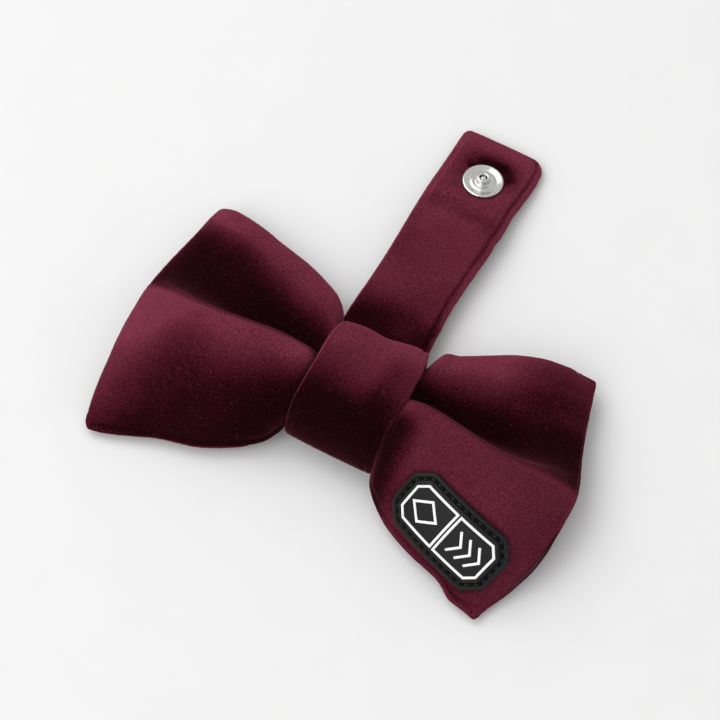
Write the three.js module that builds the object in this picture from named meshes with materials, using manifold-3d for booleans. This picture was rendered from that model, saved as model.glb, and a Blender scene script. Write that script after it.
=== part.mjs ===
// Velvet bow tie for a pet collar: a stuffed pillow bow, pinched by a wrapped band
// whose tail runs on as a snap strap. Millimetres, +Z up, +X along the bow,
// +Y along the strap. The table plane is z = 0 and the bow's face looks up.
import * as THREE from 'three';
import { mergeVertices, mergeGeometries } from 'three/addons/utils/BufferGeometryUtils.js';
import Module from 'manifold-3d';

const wasm = await Module();
wasm.setup();

// ---------------------------------------------------------------- dimensions
const PANEL_T = 1.3;        // velvet panel, measured straight up
const PAD_GAP = 0.5;        // wadding stands this far off the panels
const SEAM_HALF = 0.45;     // half the slit between the two panels at the seam
const SEAM_EDGE_T = 0.65;   // panel thickness at the seam
const THREAD = 0.3;         // seam thread, square

const BAND_T = 2.4;         // flat velvet tube that makes knot and strap
const BAND_WALL = 0.75;     // one velvet layer of that tube
const LINING_T = 0.4;       // woven interlining inside the tube
const KNOT_X0 = -12.3;      // knot, left edge
const KNOT_X1 = 13.3;       // knot, right edge
const STRAP_X0 = -15.3;     // strap, left edge
const STRAP_X1 = 9.1;       // strap, right edge
const BACK_Z = 3.9;         // centre of the band where it crosses the back
const HINGE_GAP = 0.15;     // half gap between two strap lengths at a fold line

const FOLD_1 = [18.5, 3.9];               // first fold line (y, z)
const STRAP_L = [13.2, 28.25, 6.75, 25.7]; // lengths between fold lines, and to the tip
const STRAP_SLOPE = [6, -0.5, -6, -7];     // slope of each length as it lies, degrees
const STUD_S = 10.25;       // stud centre, from the fourth fold line
const SNAP_X = -3.3;        // stud and socket, across
const SOCKET_Y = 0.5;       // socket, along: where the stud arrives once wrapped
const TIP_R = 3.2;          // corner radius of the strap's tip

const STUD_R = 5.65;        // stud flange
const NUB_R = 1.95;         // stud nub
const SOCKET_R = 5.3;       // socket body

const BADGE_L = 32.6;         // badge, long way
const BADGE_W = 17.8;       // badge, short way
const BADGE_T = 1.6;        // badge, thick
const BADGE_CUT = 4.2;      // corner chamfer
const BADGE_AT = [39.5, -24.3];  // centre, in plan
const BADGE_TURN = -19;     // long axis, degrees from +X

// ---------------------------------------------------------------- materials
const mat = (color, roughness, metalness = 0) =>
  new THREE.MeshStandardMaterial({ color, roughness, metalness });
const VELVET = mat(0x5a1a2c, 0.85);
const VELVET_BACK = mat(0x521828, 0.88);
const THREAD_RED = mat(0x3a0d1a, 0.7);
const WADDING = mat(0xe8e4dc, 0.95);
const LINING = mat(0xd8d2c6, 0.9);
const STEEL = mat(0xc9ccd0, 0.25, 1);
const RUBBER = mat(0x141416, 0.55);
const WHITE = mat(0xf2f2f0, 0.5);
const THREAD_BLACK = mat(0x1c1c1f, 0.7);

// ---------------------------------------------------------------- helpers
function volume(geo) {
  const p = geo.attributes.position, ix = geo.index;
  const n = ix ? ix.count : p.count;
  const a = new THREE.Vector3(), b = new THREE.Vector3(), c = new THREE.Vector3();
  let v = 0;
  for (let i = 0; i < n; i += 3) {
    const g = (k) => (ix ? ix.getX(i + k) : i + k);
    a.fromBufferAttribute(p, g(0)); b.fromBufferAttribute(p, g(1)); c.fromBufferAttribute(p, g(2));
    v += a.dot(b.cross(c)) / 6;
  }
  return v;
}

function outward(geo) {
  if (volume(geo) >= 0) return geo;
  const ix = geo.index.array;
  for (let i = 0; i < ix.length; i += 3) { const t = ix[i]; ix[i] = ix[i + 1]; ix[i + 1] = t; }
  return geo;
}

function bare(geo) {
  const g = geo.clone();
  for (const k of Object.keys(g.attributes)) if (k !== 'position') g.deleteAttribute(k);
  return mergeVertices(g, 1e-5);
}

function solid(geo) {
  const g = outward(bare(geo));
  return new wasm.Manifold(new wasm.Mesh({
    numProp: 3,
    vertProperties: new Float32Array(g.attributes.position.array),
    triVerts: new Uint32Array(g.index.array),
  }));
}

function fromSolid(m) {
  const mesh = m.getMesh();
  const g = new THREE.BufferGeometry();
  g.setAttribute('position', new THREE.BufferAttribute(new Float32Array(mesh.vertProperties), 3));
  g.setIndex(new THREE.BufferAttribute(new Uint32Array(mesh.triVerts), 1));
  return g;
}

function indexed(points, tris) {
  const g = new THREE.BufferGeometry();
  g.setAttribute('position', new THREE.BufferAttribute(new Float32Array(points.flat()), 3));
  g.setIndex(tris.flat());
  return outward(g);
}

// One closed body between an upper and a lower grid of the same size.
function gridSolid(upper, lower) {
  const nu = upper.length, nv = upper[0].length;
  const pts = [], id = (s, i, j) => s * nu * nv + i * nv + j;
  for (const g of [upper, lower]) for (const row of g) for (const p of row) pts.push(p);
  const t = [];
  for (let i = 0; i < nu - 1; i++) for (let j = 0; j < nv - 1; j++) {
    t.push([id(0, i, j), id(0, i + 1, j), id(0, i + 1, j + 1)], [id(0, i, j), id(0, i + 1, j + 1), id(0, i, j + 1)]);
    t.push([id(1, i, j), id(1, i + 1, j + 1), id(1, i + 1, j)], [id(1, i, j), id(1, i, j + 1), id(1, i + 1, j + 1)]);
  }
  const rim = [];
  for (let i = 0; i < nu; i++) rim.push([i, 0]);
  for (let j = 1; j < nv; j++) rim.push([nu - 1, j]);
  for (let i = nu - 2; i >= 0; i--) rim.push([i, nv - 1]);
  for (let j = nv - 2; j >= 1; j--) rim.push([0, j]);
  for (let k = 0; k < rim.length; k++) {
    const [a, b] = rim[k], [c, d] = rim[(k + 1) % rim.length];
    t.push([id(0, a, b), id(1, a, b), id(1, c, d)], [id(0, a, b), id(1, c, d), id(0, c, d)]);
  }
  return indexed(pts, t);
}

// Sweep a flat section (points across, up) along frames, each a function of (across, up).
function sweep(section, frames, closed = false) {
  const n = section.length, pts = [], t = [];
  for (const f of frames) for (const [a, b] of section) pts.push(f(a, b));
  const rings = closed ? frames.length : frames.length - 1;
  for (let i = 0; i < rings; i++) for (let k = 0; k < n; k++) {
    const i2 = (i + 1) % frames.length, k2 = (k + 1) % n;
    t.push([i * n + k, i * n + k2, i2 * n + k2], [i * n + k, i2 * n + k2, i2 * n + k]);
  }
  if (!closed) {
    const caps = THREE.ShapeUtils.triangulateShape(section.map(([a, b]) => new THREE.Vector2(a, b)), []);
    const ccw = THREE.ShapeUtils.area(section.map(([a, b]) => new THREE.Vector2(a, b))) > 0;
    const last = (frames.length - 1) * n;
    for (const [a, b, c] of caps) {
      if (ccw) t.push([a, c, b], [last + a, last + b, last + c]);
      else t.push([a, b, c], [last + a, last + c, last + b]);
    }
  }
  return indexed(pts, t);
}

// A closed lathe ring about +Z from a closed profile of (radius, height).
function ring(profile, segs = 32) {
  const pts = [...profile, profile[0]].map(([r, z]) => new THREE.Vector2(r, z));
  const g = new THREE.LatheGeometry(pts, segs);
  g.rotateX(Math.PI / 2);
  return outward(bare(g));
}

// A lathe body about +Z whose profile starts and ends on the axis.
function turned(profile, segs = 32) {
  const g = new THREE.LatheGeometry(profile.map(([r, z]) => new THREE.Vector2(r, z)), segs);
  g.rotateX(Math.PI / 2);
  return outward(bare(g));
}

const table = (rows, x) => {
  if (x <= rows[0][0]) return rows[0].slice(1);
  for (let i = 1; i < rows.length; i++) if (x <= rows[i][0]) {
    const t = (x - rows[i - 1][0]) / (rows[i][0] - rows[i - 1][0]);
    return rows[i].slice(1).map((v, k) => rows[i - 1][k + 1] + t * (v - rows[i - 1][k + 1]));
  }
  return rows[rows.length - 1].slice(1);
};

// ---------------------------------------------------------------- pillow bow
// Each station across the bow is a section from the lower seam to the upper seam,
// 13 points of (y, height of the face). The lower half is one full roll that ends in a
// crest, then the pleat drops to its valley, and the upper half is a flatter roll.
// Keys are the distance from the knot's centre; the last one is the outer seam.
const LEFT = {
  12.7: { y: [-12.6, -11.6, -10.2, -8.4, -5.4, -2, 1, 4, 7, 9.3, 11.4, 12.8, 13.6], z: [11.4, 12.5, 13.6, 14.7, 15.5, 15.85, 15.8, 15.4, 14.9, 14.2, 13.2, 12.2, 11.3] },
  14.0: { y: [-16.2, -15.4, -13.6, -11, -7.5, -3, 1, 4, 6.6, 8.2, 11, 14.6, 16.8], z: [7.5, 10, 13, 15.3, 17, 17.8, 18, 17.4, 13.4, 11.6, 12.2, 12.6, 10.2] },
  17.5: { y: [-20, -18.8, -16, -12.5, -8, -3, 1.2, 3.6, 6.6, 8.6, 12.5, 17.8, 21.6], z: [4.4, 7.6, 12, 15.4, 18, 19.2, 19.4, 18.2, 12.6, 10.8, 12.6, 13.4, 9.6] },
  23: { y: [-24.5, -23, -19.5, -15, -9.5, -3.6, 0.8, 3.2, 6.6, 9.2, 14, 21, 26], z: [3.4, 7, 12.2, 16.2, 19, 20.4, 20.6, 18.8, 12.2, 10.2, 12.8, 13.4, 8.8] },
  31: { y: [-28.4, -26.6, -22.5, -17, -10.5, -4, 0, 3, 7.2, 10.6, 17, 25, 29.6], z: [3.2, 7, 12.8, 17.2, 20, 21.2, 21, 18.6, 12.4, 10, 12.6, 12.8, 8] },
  40: { y: [-32, -29.8, -25, -19, -11.8, -4.8, -0.6, 3, 8.4, 12.6, 19.5, 27.8, 32.2], z: [3.2, 7, 13, 17.6, 20.2, 21, 20.2, 18, 12.8, 10.4, 12.6, 12, 7.2] },
  49: { y: [-35.4, -32.8, -27.4, -20.6, -12.6, -5, -0.2, 3.8, 9.6, 14.6, 21.6, 30.2, 34.8], z: [3.2, 6.8, 12.8, 17.2, 19.6, 20, 19, 17, 12.8, 10.6, 12.2, 11, 6.4] },
  57: { y: [-37, -34, -28, -20.6, -12.4, -4.8, 0.4, 4.8, 10.4, 15.6, 22.4, 31, 35.6], z: [3.2, 6, 10.8, 14.4, 16.6, 16.8, 16, 14.4, 11.4, 9.8, 10.6, 9, 5.6] },
  61.5: { y: [-37, -34, -28, -20.4, -12.2, -4.6, 0.7, 5.2, 10.8, 15.8, 22.6, 31, 36], z: [3.1, 4.8, 8.2, 10.6, 12.4, 12.8, 12.6, 11.6, 9.8, 8.6, 8.6, 7, 4.9] },
  64: { y: [-37.2, -34, -28, -20.4, -12, -4.4, 0.9, 5.5, 11, 16, 22.8, 31, 36], z: [3, 3.9, 5.8, 7.4, 8.7, 9.6, 9.9, 9.5, 8.4, 7.4, 6.4, 5.4, 4.5] },
};
const LEFT_BOW = [3.9, 3.0, 1.6, 0.5, -0.4, -0.8, -0.7, -0.5, 0, 0.4, 1.3, 2.3, 3.0];
const RIGHT = {
  12.7: { y: [-12.6, -11.6, -10.2, -8.4, -5.4, -2, 1, 4, 7, 9.3, 11.4, 12.8, 13.6], z: [11.4, 12.5, 13.6, 14.7, 15.5, 15.85, 15.8, 15.4, 14.9, 14.2, 13.2, 12.2, 11.3] },
  15.0: { y: [-17, -16, -14, -11.2, -7.6, -3, 1, 4, 6.8, 9, 12, 15.8, 18.4], z: [7, 9.8, 13, 15.6, 17.2, 18, 18, 17.2, 14, 12.6, 13.6, 14.4, 12.6] },
  18.5: { y: [-21.6, -20.2, -17, -13, -8.2, -3.2, 1.2, 3.8, 7, 9.6, 14, 18.8, 21.8], z: [4.8, 8.4, 12.6, 16, 18.6, 19.8, 19.8, 18.2, 13.4, 12, 14, 14.8, 12.4] },
  24: { y: [-25.2, -23.6, -19.8, -15, -9.6, -4, 0.6, 3.6, 7.4, 10.4, 16, 22.4, 25.6], z: [3.6, 7.4, 12.6, 16.6, 19.4, 20.8, 20.8, 18.6, 13, 11.8, 14.2, 14.8, 11.8] },
  32: { y: [-28, -26, -22, -17, -10.8, -4.6, -0.6, 3, 8, 12, 18.6, 26.6, 30.4], z: [3.2, 7, 12.6, 17, 20, 21.6, 21.6, 18.6, 13.2, 11.6, 14, 13.8, 10.6] },
  41: { y: [-31.4, -29.2, -24.8, -19, -12, -6, -2.4, 2.6, 8.8, 13.6, 20.6, 29.8, 34.4], z: [3, 6.8, 12.4, 16.8, 20, 21.8, 21.6, 18.6, 13.6, 12, 13.6, 12.6, 9] },
  50: { y: [-35.8, -33, -27.4, -20.6, -12.8, -5.8, -1.6, 3.4, 9.8, 14.8, 21.6, 30.6, 35.6], z: [3, 6.2, 11.4, 15.4, 18.6, 20.2, 19.8, 17.4, 13.6, 12, 12.8, 11.2, 8] },
  57: { y: [-37, -33, -26, -19, -11.8, -5, -0.4, 4, 9.8, 14.4, 20.8, 29.6, 35.6], z: [3, 4.8, 8.8, 12.6, 15.6, 17, 16.8, 15.2, 12.4, 11.2, 11.2, 9.8, 7.6] },
  64: { y: [-37.6, -31.6, -23.6, -17.2, -11, -4.8, 0.4, 4.6, 9.8, 14, 20, 28.4, 35.6], z: [3, 3.6, 5, 7.4, 10.2, 12, 12.6, 12, 10.6, 9.6, 8.8, 8.2, 7.8] },
};
const RIGHT_BOW = [8.8, 5.6, 2.4, 0.6, 0.1, 0, 0.3, 1.4, 3.6, 5.2, 7.4, 10, 12.4];

const NV = 13;
function section(wing, d) {
  const keys = Object.keys(wing).map(Number).sort((a, b) => a - b);
  const out = { y: [], z: [] };
  for (let j = 0; j < NV; j++) {
    const rows = keys.map((k) => [k, wing[k].y[j], wing[k].z[j]]);
    const [y, z] = table(rows, d);
    out.y.push(y); out.z.push(z);
  }
  return out;
}

// Height of the seam under each section's ends and along the outer edge.
function seamZ(wing, d, j) {
  const s = section(wing, d);
  const end = section(wing, 64).z[j];
  const t = j / (NV - 1);
  const across = s.z[0] * (1 - t) + s.z[NV - 1] * t - 1.1;
  const w = THREE.MathUtils.smoothstep(d, 52, 64);
  return across * (1 - w) + (end - 1.1) * w;
}

// Underside: the belly of each wing lies on the table, the waist is drawn up.
function belly(wing, d, j) {
  const edge = seamZ(wing, d, j) - 1.1;
  const t = j / (NV - 1);
  const across = Math.pow(Math.sin(Math.PI * t), 0.55);
  const out = Math.pow(Math.max(0, 1 - Math.pow(d / 64, 7)), 0.6);
  const low = d < 12.8 ? 9.0 : 9.0 * (1 - THREE.MathUtils.smoothstep(d, 12.2, 27));
  const k = across * out;
  return Math.min(edge, edge * (1 - k) + low * k);
}

const D_LEFT = [64, 61.5, 57, 53, 49, 44.5, 40, 35.5, 31, 27, 23, 20, 17.5, 15.4, 14, 12.7];
const D_RIGHT = [12.7, 15, 16.6, 18.5, 21, 24, 28, 32, 36.5, 41, 45.5, 50, 53.5, 57, 60.5, 64];
const stations = [
  ...D_LEFT.map((d) => ({ wing: LEFT, bow: LEFT_BOW, side: -1, d })),
  { wing: LEFT, bow: LEFT_BOW, side: -1, d: 12.7, x: -6 },
  { wing: LEFT, bow: LEFT_BOW, side: -1, d: 12.7, x: 0.5 },
  { wing: RIGHT, bow: RIGHT_BOW, side: 1, d: 12.7, x: 7 },
  ...D_RIGHT.map((d) => ({ wing: RIGHT, bow: RIGHT_BOW, side: 1, d, shift: d < 13 ? 0.9 : 0 })),
];
function stationPoint(s, j) {
  const sec = section(s.wing, s.d);
  const w = THREE.MathUtils.smoothstep(s.d, 40, 64);
  const x = s.x !== undefined ? s.x : s.side * (s.d + (s.shift || 0) - s.bow[j] * w);
  return { x, y: sec.y[j], z: sec.z[j] };
}
function surfaces(s) {
  const edgeStation = s.d > 63.99;
  const rows = { ft: [], fb: [], bt: [], bb: [] };
  for (let j = 0; j < NV; j++) {
    const p = stationPoint(s, j);
    const zs = seamZ(s.wing, s.d, j);
    const rim = edgeStation || j === 0 || j === NV - 1;
    const bz = belly(s.wing, s.d, j);
    if (rim) {
      rows.ft.push([p.x, p.y, zs + SEAM_HALF + SEAM_EDGE_T]);
      rows.fb.push([p.x, p.y, zs + SEAM_HALF]);
      rows.bt.push([p.x, p.y, zs - SEAM_HALF]);
      rows.bb.push([p.x, p.y, zs - SEAM_HALF - SEAM_EDGE_T]);
    } else {
      const top = Math.max(p.z, zs + SEAM_HALF + SEAM_EDGE_T);
      rows.ft.push([p.x, p.y, top]);
      rows.fb.push([p.x, p.y, Math.max(top - PANEL_T, zs + SEAM_HALF)]);
      rows.bb.push([p.x, p.y, bz]);
      rows.bt.push([p.x, p.y, Math.min(bz + PANEL_T, zs - SEAM_HALF)]);
    }
  }
  return rows;
}
const S = stations.map(surfaces);
const frontGeo = gridSolid(S.map((r) => r.ft), S.map((r) => r.fb));
const backGeo = gridSolid(S.map((r) => r.bt), S.map((r) => r.bb));

// Wadding: the space between the panels, pulled in from the seams.
const padTop = [], padBottom = [];
for (let i = 1; i < S.length - 1; i++) {
  const a = [], b = [];
  for (let j = 1; j < NV - 1; j++) {
    // The outermost wadding points sit part of the way towards their inner neighbours.
    const jn = j === 1 ? 2 : j === NV - 2 ? NV - 3 : j;
    const f = S[i].fb[j].map((q, c) => q + 0.55 * (S[i].fb[jn][c] - q));
    const k = S[i].bt[j].map((q, c) => q + 0.55 * (S[i].bt[jn][c] - q));
    const mid = (f[2] + k[2]) / 2;
    // The gap is kept square to the panel, so it grows where the panel is steep.
    const steep = (rows) => {
      const dy = rows[j + 1][1] - rows[j - 1][1], dz = rows[j + 1][2] - rows[j - 1][2];
      const before = S[i - 1][rows === S[i].fb ? 'fb' : 'bt'][j], after = S[i + 1][rows === S[i].fb ? 'fb' : 'bt'][j];
      const dx = after[0] - before[0], ex = after[2] - before[2];
      return Math.sqrt(1 + (dz / dy) ** 2 + (ex / dx) ** 2);
    };
    const gapF = PAD_GAP * Math.min(3, steep(S[i].fb)), gapB = PAD_GAP * Math.min(3, steep(S[i].bt));
    a.push([f[0], f[1], Math.max(f[2] - gapF, mid + 0.15)]);
    b.push([k[0], k[1], Math.min(k[2] + gapB, mid - 0.15)]);
  }
  padTop.push(a); padBottom.push(b);
}
const paddingGeo = gridSolid(padTop, padBottom);

// Seam thread: one loop right round, midway between the two panels at the seam.
const loop = [];
{
  const n = S.length;
  const mid = (i, j) => [S[i].ft[j][0], S[i].ft[j][1], (S[i].fb[j][2] + S[i].bt[j][2]) / 2];
  for (let i = 0; i < n; i++) loop.push(mid(i, 0));
  for (let j = 1; j < NV; j++) loop.push(mid(n - 1, j));
  for (let i = n - 2; i >= 0; i--) loop.push(mid(i, NV - 1));
  for (let j = NV - 2; j >= 1; j--) loop.push(mid(0, j));
}
function threadLoop(pts, half) {
  const c = new THREE.Vector3();
  for (const p of pts) c.add(new THREE.Vector3(...p));
  c.divideScalar(pts.length);
  const frames = pts.map((p, i) => {
    const a = pts[(i + pts.length - 1) % pts.length], b = pts[(i + 1) % pts.length];
    const t = new THREE.Vector3(b[0] - a[0], b[1] - a[1], 0).normalize();
    const side = new THREE.Vector3(t.y, -t.x, 0);
    return (u, v) => [p[0] + side.x * (u - 0.35), p[1] + side.y * (u - 0.35), p[2] + v];
  });
  return sweep([[-half, -half], [half, -half], [half, half], [-half, half]], frames, true);
}
const seamThreadGeo = threadLoop(loop, THREAD / 2);

// Gathering thread: three turns round the waist, inside the knot.
const WAIST_RING = [
  [-13.1, 11.2], [-12.0, 12.95], [-10.5, 14.25], [-8.7, 15.3], [-5.6, 16.1], [-2, 16.4], [1.5, 16.35], [5, 15.95], [7.6, 15.4],
  [10.1, 14.65], [12.2, 13.4], [13.9, 12.0], [14.35, 10.6], [14.3, 9.3], [13.4, 8.45], [11, 8.3], [0, 8.3], [-10, 8.3], [-12.3, 8.5], [-13.15, 9.3],
];
const gatherPath = [];
for (let k = 0; k < WAIST_RING.length * 3; k++) {
  const [y, z] = WAIST_RING[k % WAIST_RING.length];
  gatherPath.push(new THREE.Vector3(-2.4 + (k / WAIST_RING.length) * 1.9, y, z));
}
const gatherFrames = gatherPath.map((p, i) => {
  const a = gatherPath[Math.max(0, i - 1)], b = gatherPath[Math.min(gatherPath.length - 1, i + 1)];
  const t = new THREE.Vector3().subVectors(b, a).setX(0).normalize();
  return (u, v) => [p.x + u, p.y - t.z * v, p.z + t.y * v];
});
const gatherGeo = sweep([[-0.2, -0.2], [0.2, -0.2], [0.2, 0.2], [-0.2, 0.2]], gatherFrames);

// ---------------------------------------------------------------- knot band
// Flat velvet tube: a section (across, up) with one seam slit at its right-hand edge.
function tubeSection(x0, x1, t, wall, slit = 0.15) {
  const r = t / 2, ri = r - wall;
  const arc = (cx, rad, from, to, n) => {
    const out = [];
    for (let i = 0; i <= n; i++) {
      const a = ((from + (to - from) * (i / n)) * Math.PI) / 180;
      out.push([cx + rad * Math.cos(a), rad * Math.sin(a)]);
    }
    return out;
  };
  const a0 = (Math.asin(slit / r) * 180) / Math.PI, a1 = (Math.asin(slit / ri) * 180) / Math.PI;
  const outer = [...arc(x1 - r, r, a0, 90, 2), ...arc(x0 + r, r, 90, 270, 4), ...arc(x1 - r, r, 270, 360 - a0, 2)];
  const inner = [...arc(x1 - r, ri, a1, 90, 2), ...arc(x0 + r, ri, 90, 270, 4), ...arc(x1 - r, ri, 270, 360 - a1, 2)];
  return [...outer, ...inner.reverse()];
}

// Centre line of the wrap, as (y, z): it starts behind, goes up over the top edge, down
// the face, round the bottom edge, and crosses the back again to leave as the strap.
const WRAP = [
  [6.4, 6.6], [10.2, 6.6], [13.4, 6.65], [15.6, 7.6], [16.8, 9.7], [16.5, 12.2], [14.6, 14.6], [11.4, 16.3], [7.4, 17.4],
  [3, 18.0], [-1.6, 18.15], [-6, 17.8], [-9.8, 16.8], [-12.8, 14.6], [-14.8, 11.6], [-15.7, 8.4], [-15.0, 5.7], [-13.0, 4.2], [-10.2, 3.9],
];
const wrapCurve = new THREE.CatmullRomCurve3(WRAP.map(([y, z]) => new THREE.Vector3(0, y, z)), false, 'centripetal');
const wrapPts = wrapCurve.getPoints(34).map((p) => [p.y, p.z]);
wrapPts.push([-5, BACK_Z], [3, BACK_Z], [11, BACK_Z], [FOLD_1[0] + 1.5, BACK_Z]);
const SKEW = STRAP_X0 - KNOT_X0;
function bandFrames(pts) {
  return pts.map((p, i) => {
    const a = pts[Math.max(0, i - 1)], b = pts[Math.min(pts.length - 1, i + 1)];
    const t = new THREE.Vector2(b[0] - a[0], b[1] - a[1]).normalize();
    const onBack = i > pts.length - 8 ? THREE.MathUtils.clamp((p[0] + 12) / (FOLD_1[0] + 12), 0, 1) : 0;
    return (u, v) => {
      const share = (u - KNOT_X0) / (KNOT_X1 - KNOT_X0);
      const dx = onBack * (SKEW * (1 - share) + (STRAP_X1 - KNOT_X1) * share);
      return [u + dx, p[0] - t.y * v, p[1] + t.x * v];
    };
  });
}
const bandF = bandFrames(wrapPts);
const halfSpace = (pts, x0, x1) => {
  // A block whose outline is given in the YZ plane, running from x0 to x1.
  const shape = new THREE.Shape(pts.map(([y, z]) => new THREE.Vector2(y, z)));
  const g = new THREE.ExtrudeGeometry(shape, { depth: x1 - x0, bevelEnabled: false });
  g.applyMatrix4(new THREE.Matrix4().set(0, 0, 1, x0, 1, 0, 0, 0, 0, 1, 0, 0, 0, 0, 0, 1));
  return solid(g);
};
const post = (x, y, z0, z1, r, segs = 20) => {
  const g = new THREE.CylinderGeometry(r, r, z1 - z0, segs);
  g.rotateX(Math.PI / 2);
  g.translate(x, y, (z0 + z1) / 2);
  return solid(g);
};
// Fold ends: 45 degrees underneath, so a length can fold right back, less on the face side.
const UNDER = 1.0, OVER = 0.55;
const H = BAND_T;
const bandEnd = halfSpace([
  [FOLD_1[0] - HINGE_GAP, FOLD_1[1]], [FOLD_1[0] - HINGE_GAP - UNDER * H, FOLD_1[1] - H], [FOLD_1[0] + 4, FOLD_1[1] - H],
  [FOLD_1[0] + 4, FOLD_1[1] + H], [FOLD_1[0] - HINGE_GAP - OVER * H, FOLD_1[1] + H],
], -30, 30);
const socketHole = post(SNAP_X, SOCKET_Y, 1.5, 5.28, 1.25);
const knotBand = solid(sweep(tubeSection(KNOT_X0, KNOT_X1, BAND_T, BAND_WALL), bandF)).subtract(bandEnd).subtract(socketHole);
const rect = (x0, x1, t) => [[x0, -t / 2], [x1, -t / 2], [x1, t / 2], [x0, t / 2]];
const knotLining = solid(sweep(rect(KNOT_X0 + 1.4, KNOT_X1 - 1.4, LINING_T), bandF)).subtract(bandEnd).subtract(socketHole);

// Closing stitches: one zigzag thread where the band's hidden end is sewn down.
const closePath = [];
for (let i = 0; i <= 16; i++) closePath.push([-9 + i * 1.15, 5.5 + (i % 2 ? 0.18 : -0.18), 5.62]);
const closeGeo = sweep([[-0.18, -0.18], [0.18, -0.18], [0.18, 0.18], [-0.18, 0.18]],
  closePath.map((p) => (u, v) => [p[0], p[1] + u, p[2] + v]));

// ---------------------------------------------------------------- snap socket
const SOCKET_TOP = BACK_Z - BAND_T / 2 - 0.25;
const socketGeo = ring([
  [1.15, 1.75], [2.3, 1.75], [2.3, 1.3], [3.15, 1.3], [3.15, 0.6], [2.3, 0.6], [2.3, 0.3], [2.6, 0.12], [4.0, 0.12], [4.3, 0.5],
  [4.5, 1.5], [SOCKET_R, 1.75], [SOCKET_R, SOCKET_TOP - 0.15], [SOCKET_R - 0.2, SOCKET_TOP], [1.15, SOCKET_TOP],
], 28);
socketGeo.translate(SNAP_X, SOCKET_Y, 0);
const springPath = [];
for (let i = 0; i <= 22; i++) {
  const a = (25 + (310 * i) / 22) * (Math.PI / 180);
  springPath.push([a, 2.72]);
}
const springGeo = sweep([[-0.17, -0.16], [0.17, -0.16], [0.17, 0.16], [-0.17, 0.16]],
  springPath.map(([a, r]) => (u, v) => [SNAP_X + (r + u) * Math.cos(a), SOCKET_Y + (r + u) * Math.sin(a), 0.95 + v]));
const socketPostGeo = turned([[0, 6.2], [3.6, 6.2], [4.2, 5.95], [4.2, 5.4], [0.9, 5.4], [0.9, 1.78], [0, 1.78]], 24);
socketPostGeo.translate(SNAP_X, SOCKET_Y, 0);

// ---------------------------------------------------------------- strap
// Each length is made flat, its fold line at y = 0, and placed by its group.
function lengthBlank(len, last) {
  const y0 = HINGE_GAP, y1 = last ? len + 5 : len - HINGE_GAP;
  const out = [[y0, 0], [y0 + UNDER * H, -H]];
  if (last) out.push([y1, -H], [y1, H]);
  else out.push([y1 - UNDER * H, -H], [y1, 0], [y1 - OVER * H, H]);
  out.push([y0 + OVER * H, H]);
  return halfSpace(out, -30, 30);
}
const straight = (len) => [-2, len + 2].map((y) => (u, v) => [u, y, v]);
const sleeves = [], linings = [];
for (let k = 0; k < 4; k++) {
  const last = k === 3, len = STRAP_L[k];
  const blank = lengthBlank(len, last);
  if (!last) {
    sleeves.push(solid(sweep(tubeSection(STRAP_X0, STRAP_X1, BAND_T, BAND_WALL), straight(len))).intersect(blank));
    linings.push(solid(sweep(rect(STRAP_X0 + 1.4, STRAP_X1 - 1.4, LINING_T), straight(len))).intersect(blank));
  } else {
    // The tip is closed, with rounded corners, and pierced for the stud's post.
    const shape = new THREE.Shape();
    const a = STRAP_X0 + 0.45, b = STRAP_X1 - 0.45, y1 = len - 0.45, r = TIP_R - 0.45;
    shape.moveTo(a, -2); shape.lineTo(b, -2); shape.lineTo(b, y1 - r);
    shape.absarc(b - r, y1 - r, r, 0, Math.PI / 2, false);
    shape.lineTo(a + r, y1);
    shape.absarc(a + r, y1 - r, r, Math.PI / 2, Math.PI, false);
    shape.lineTo(a, -2);
    const g = new THREE.ExtrudeGeometry(shape, {
      depth: BAND_T - 0.9, bevelEnabled: true, bevelThickness: 0.45, bevelSize: 0.45, bevelSegments: 2, curveSegments: 5,
    });
    g.translate(0, 0, -(BAND_T - 0.9) / 2);
    const pocket = halfSpace([[-4, -(BAND_T / 2 - BAND_WALL)], [len - 1.8, -(BAND_T / 2 - BAND_WALL)], [len - 1.8, BAND_T / 2 - BAND_WALL], [-4, BAND_T / 2 - BAND_WALL]], STRAP_X0 + 1.15, STRAP_X1 - 1.15);
    const hole = post(SNAP_X, STUD_S, -3, 3, 1.1);
    sleeves.push(solid(g).subtract(pocket).intersect(blank).subtract(hole));
    linings.push(halfSpace([[-4, -LINING_T / 2], [len - 2.1, -LINING_T / 2], [len - 2.1, LINING_T / 2], [-4, LINING_T / 2]], STRAP_X0 + 1.45, STRAP_X1 - 1.45).intersect(blank).subtract(hole));
  }
}
const N0 = BAND_T / 2 + 0.25;  // the stud stands on the strap's face
const studGeo = ring([
  [0.95, N0], [STUD_R - 0.35, N0], [STUD_R, N0 + 0.3], [STUD_R - 0.05, N0 + 0.7], [STUD_R - 0.45, N0 + 0.95], [STUD_R - 0.9, N0 + 0.75],
  [4.2, N0 + 0.45], [3.5, N0 + 0.45], [3.2, N0 + 0.7], [2.7, N0 + 0.8], [NUB_R - 0.25, N0 + 0.95], [NUB_R - 0.2, N0 + 1.4], [NUB_R, N0 + 1.8],
  [NUB_R - 0.1, N0 + 2.2], [NUB_R - 0.5, N0 + 2.5], [0.95, N0 + 2.5],
], 28);
studGeo.translate(SNAP_X, STUD_S, 0);
const studPostGeo = turned([
  [0, -N0 - 0.8], [3.6, -N0 - 0.8], [4.5, -N0 - 0.45], [4.6, -N0], [0.7, -N0], [0.7, N0 + 2.1], [0, N0 + 2.1],
], 24);
studPostGeo.translate(SNAP_X, STUD_S, 0);

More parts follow.
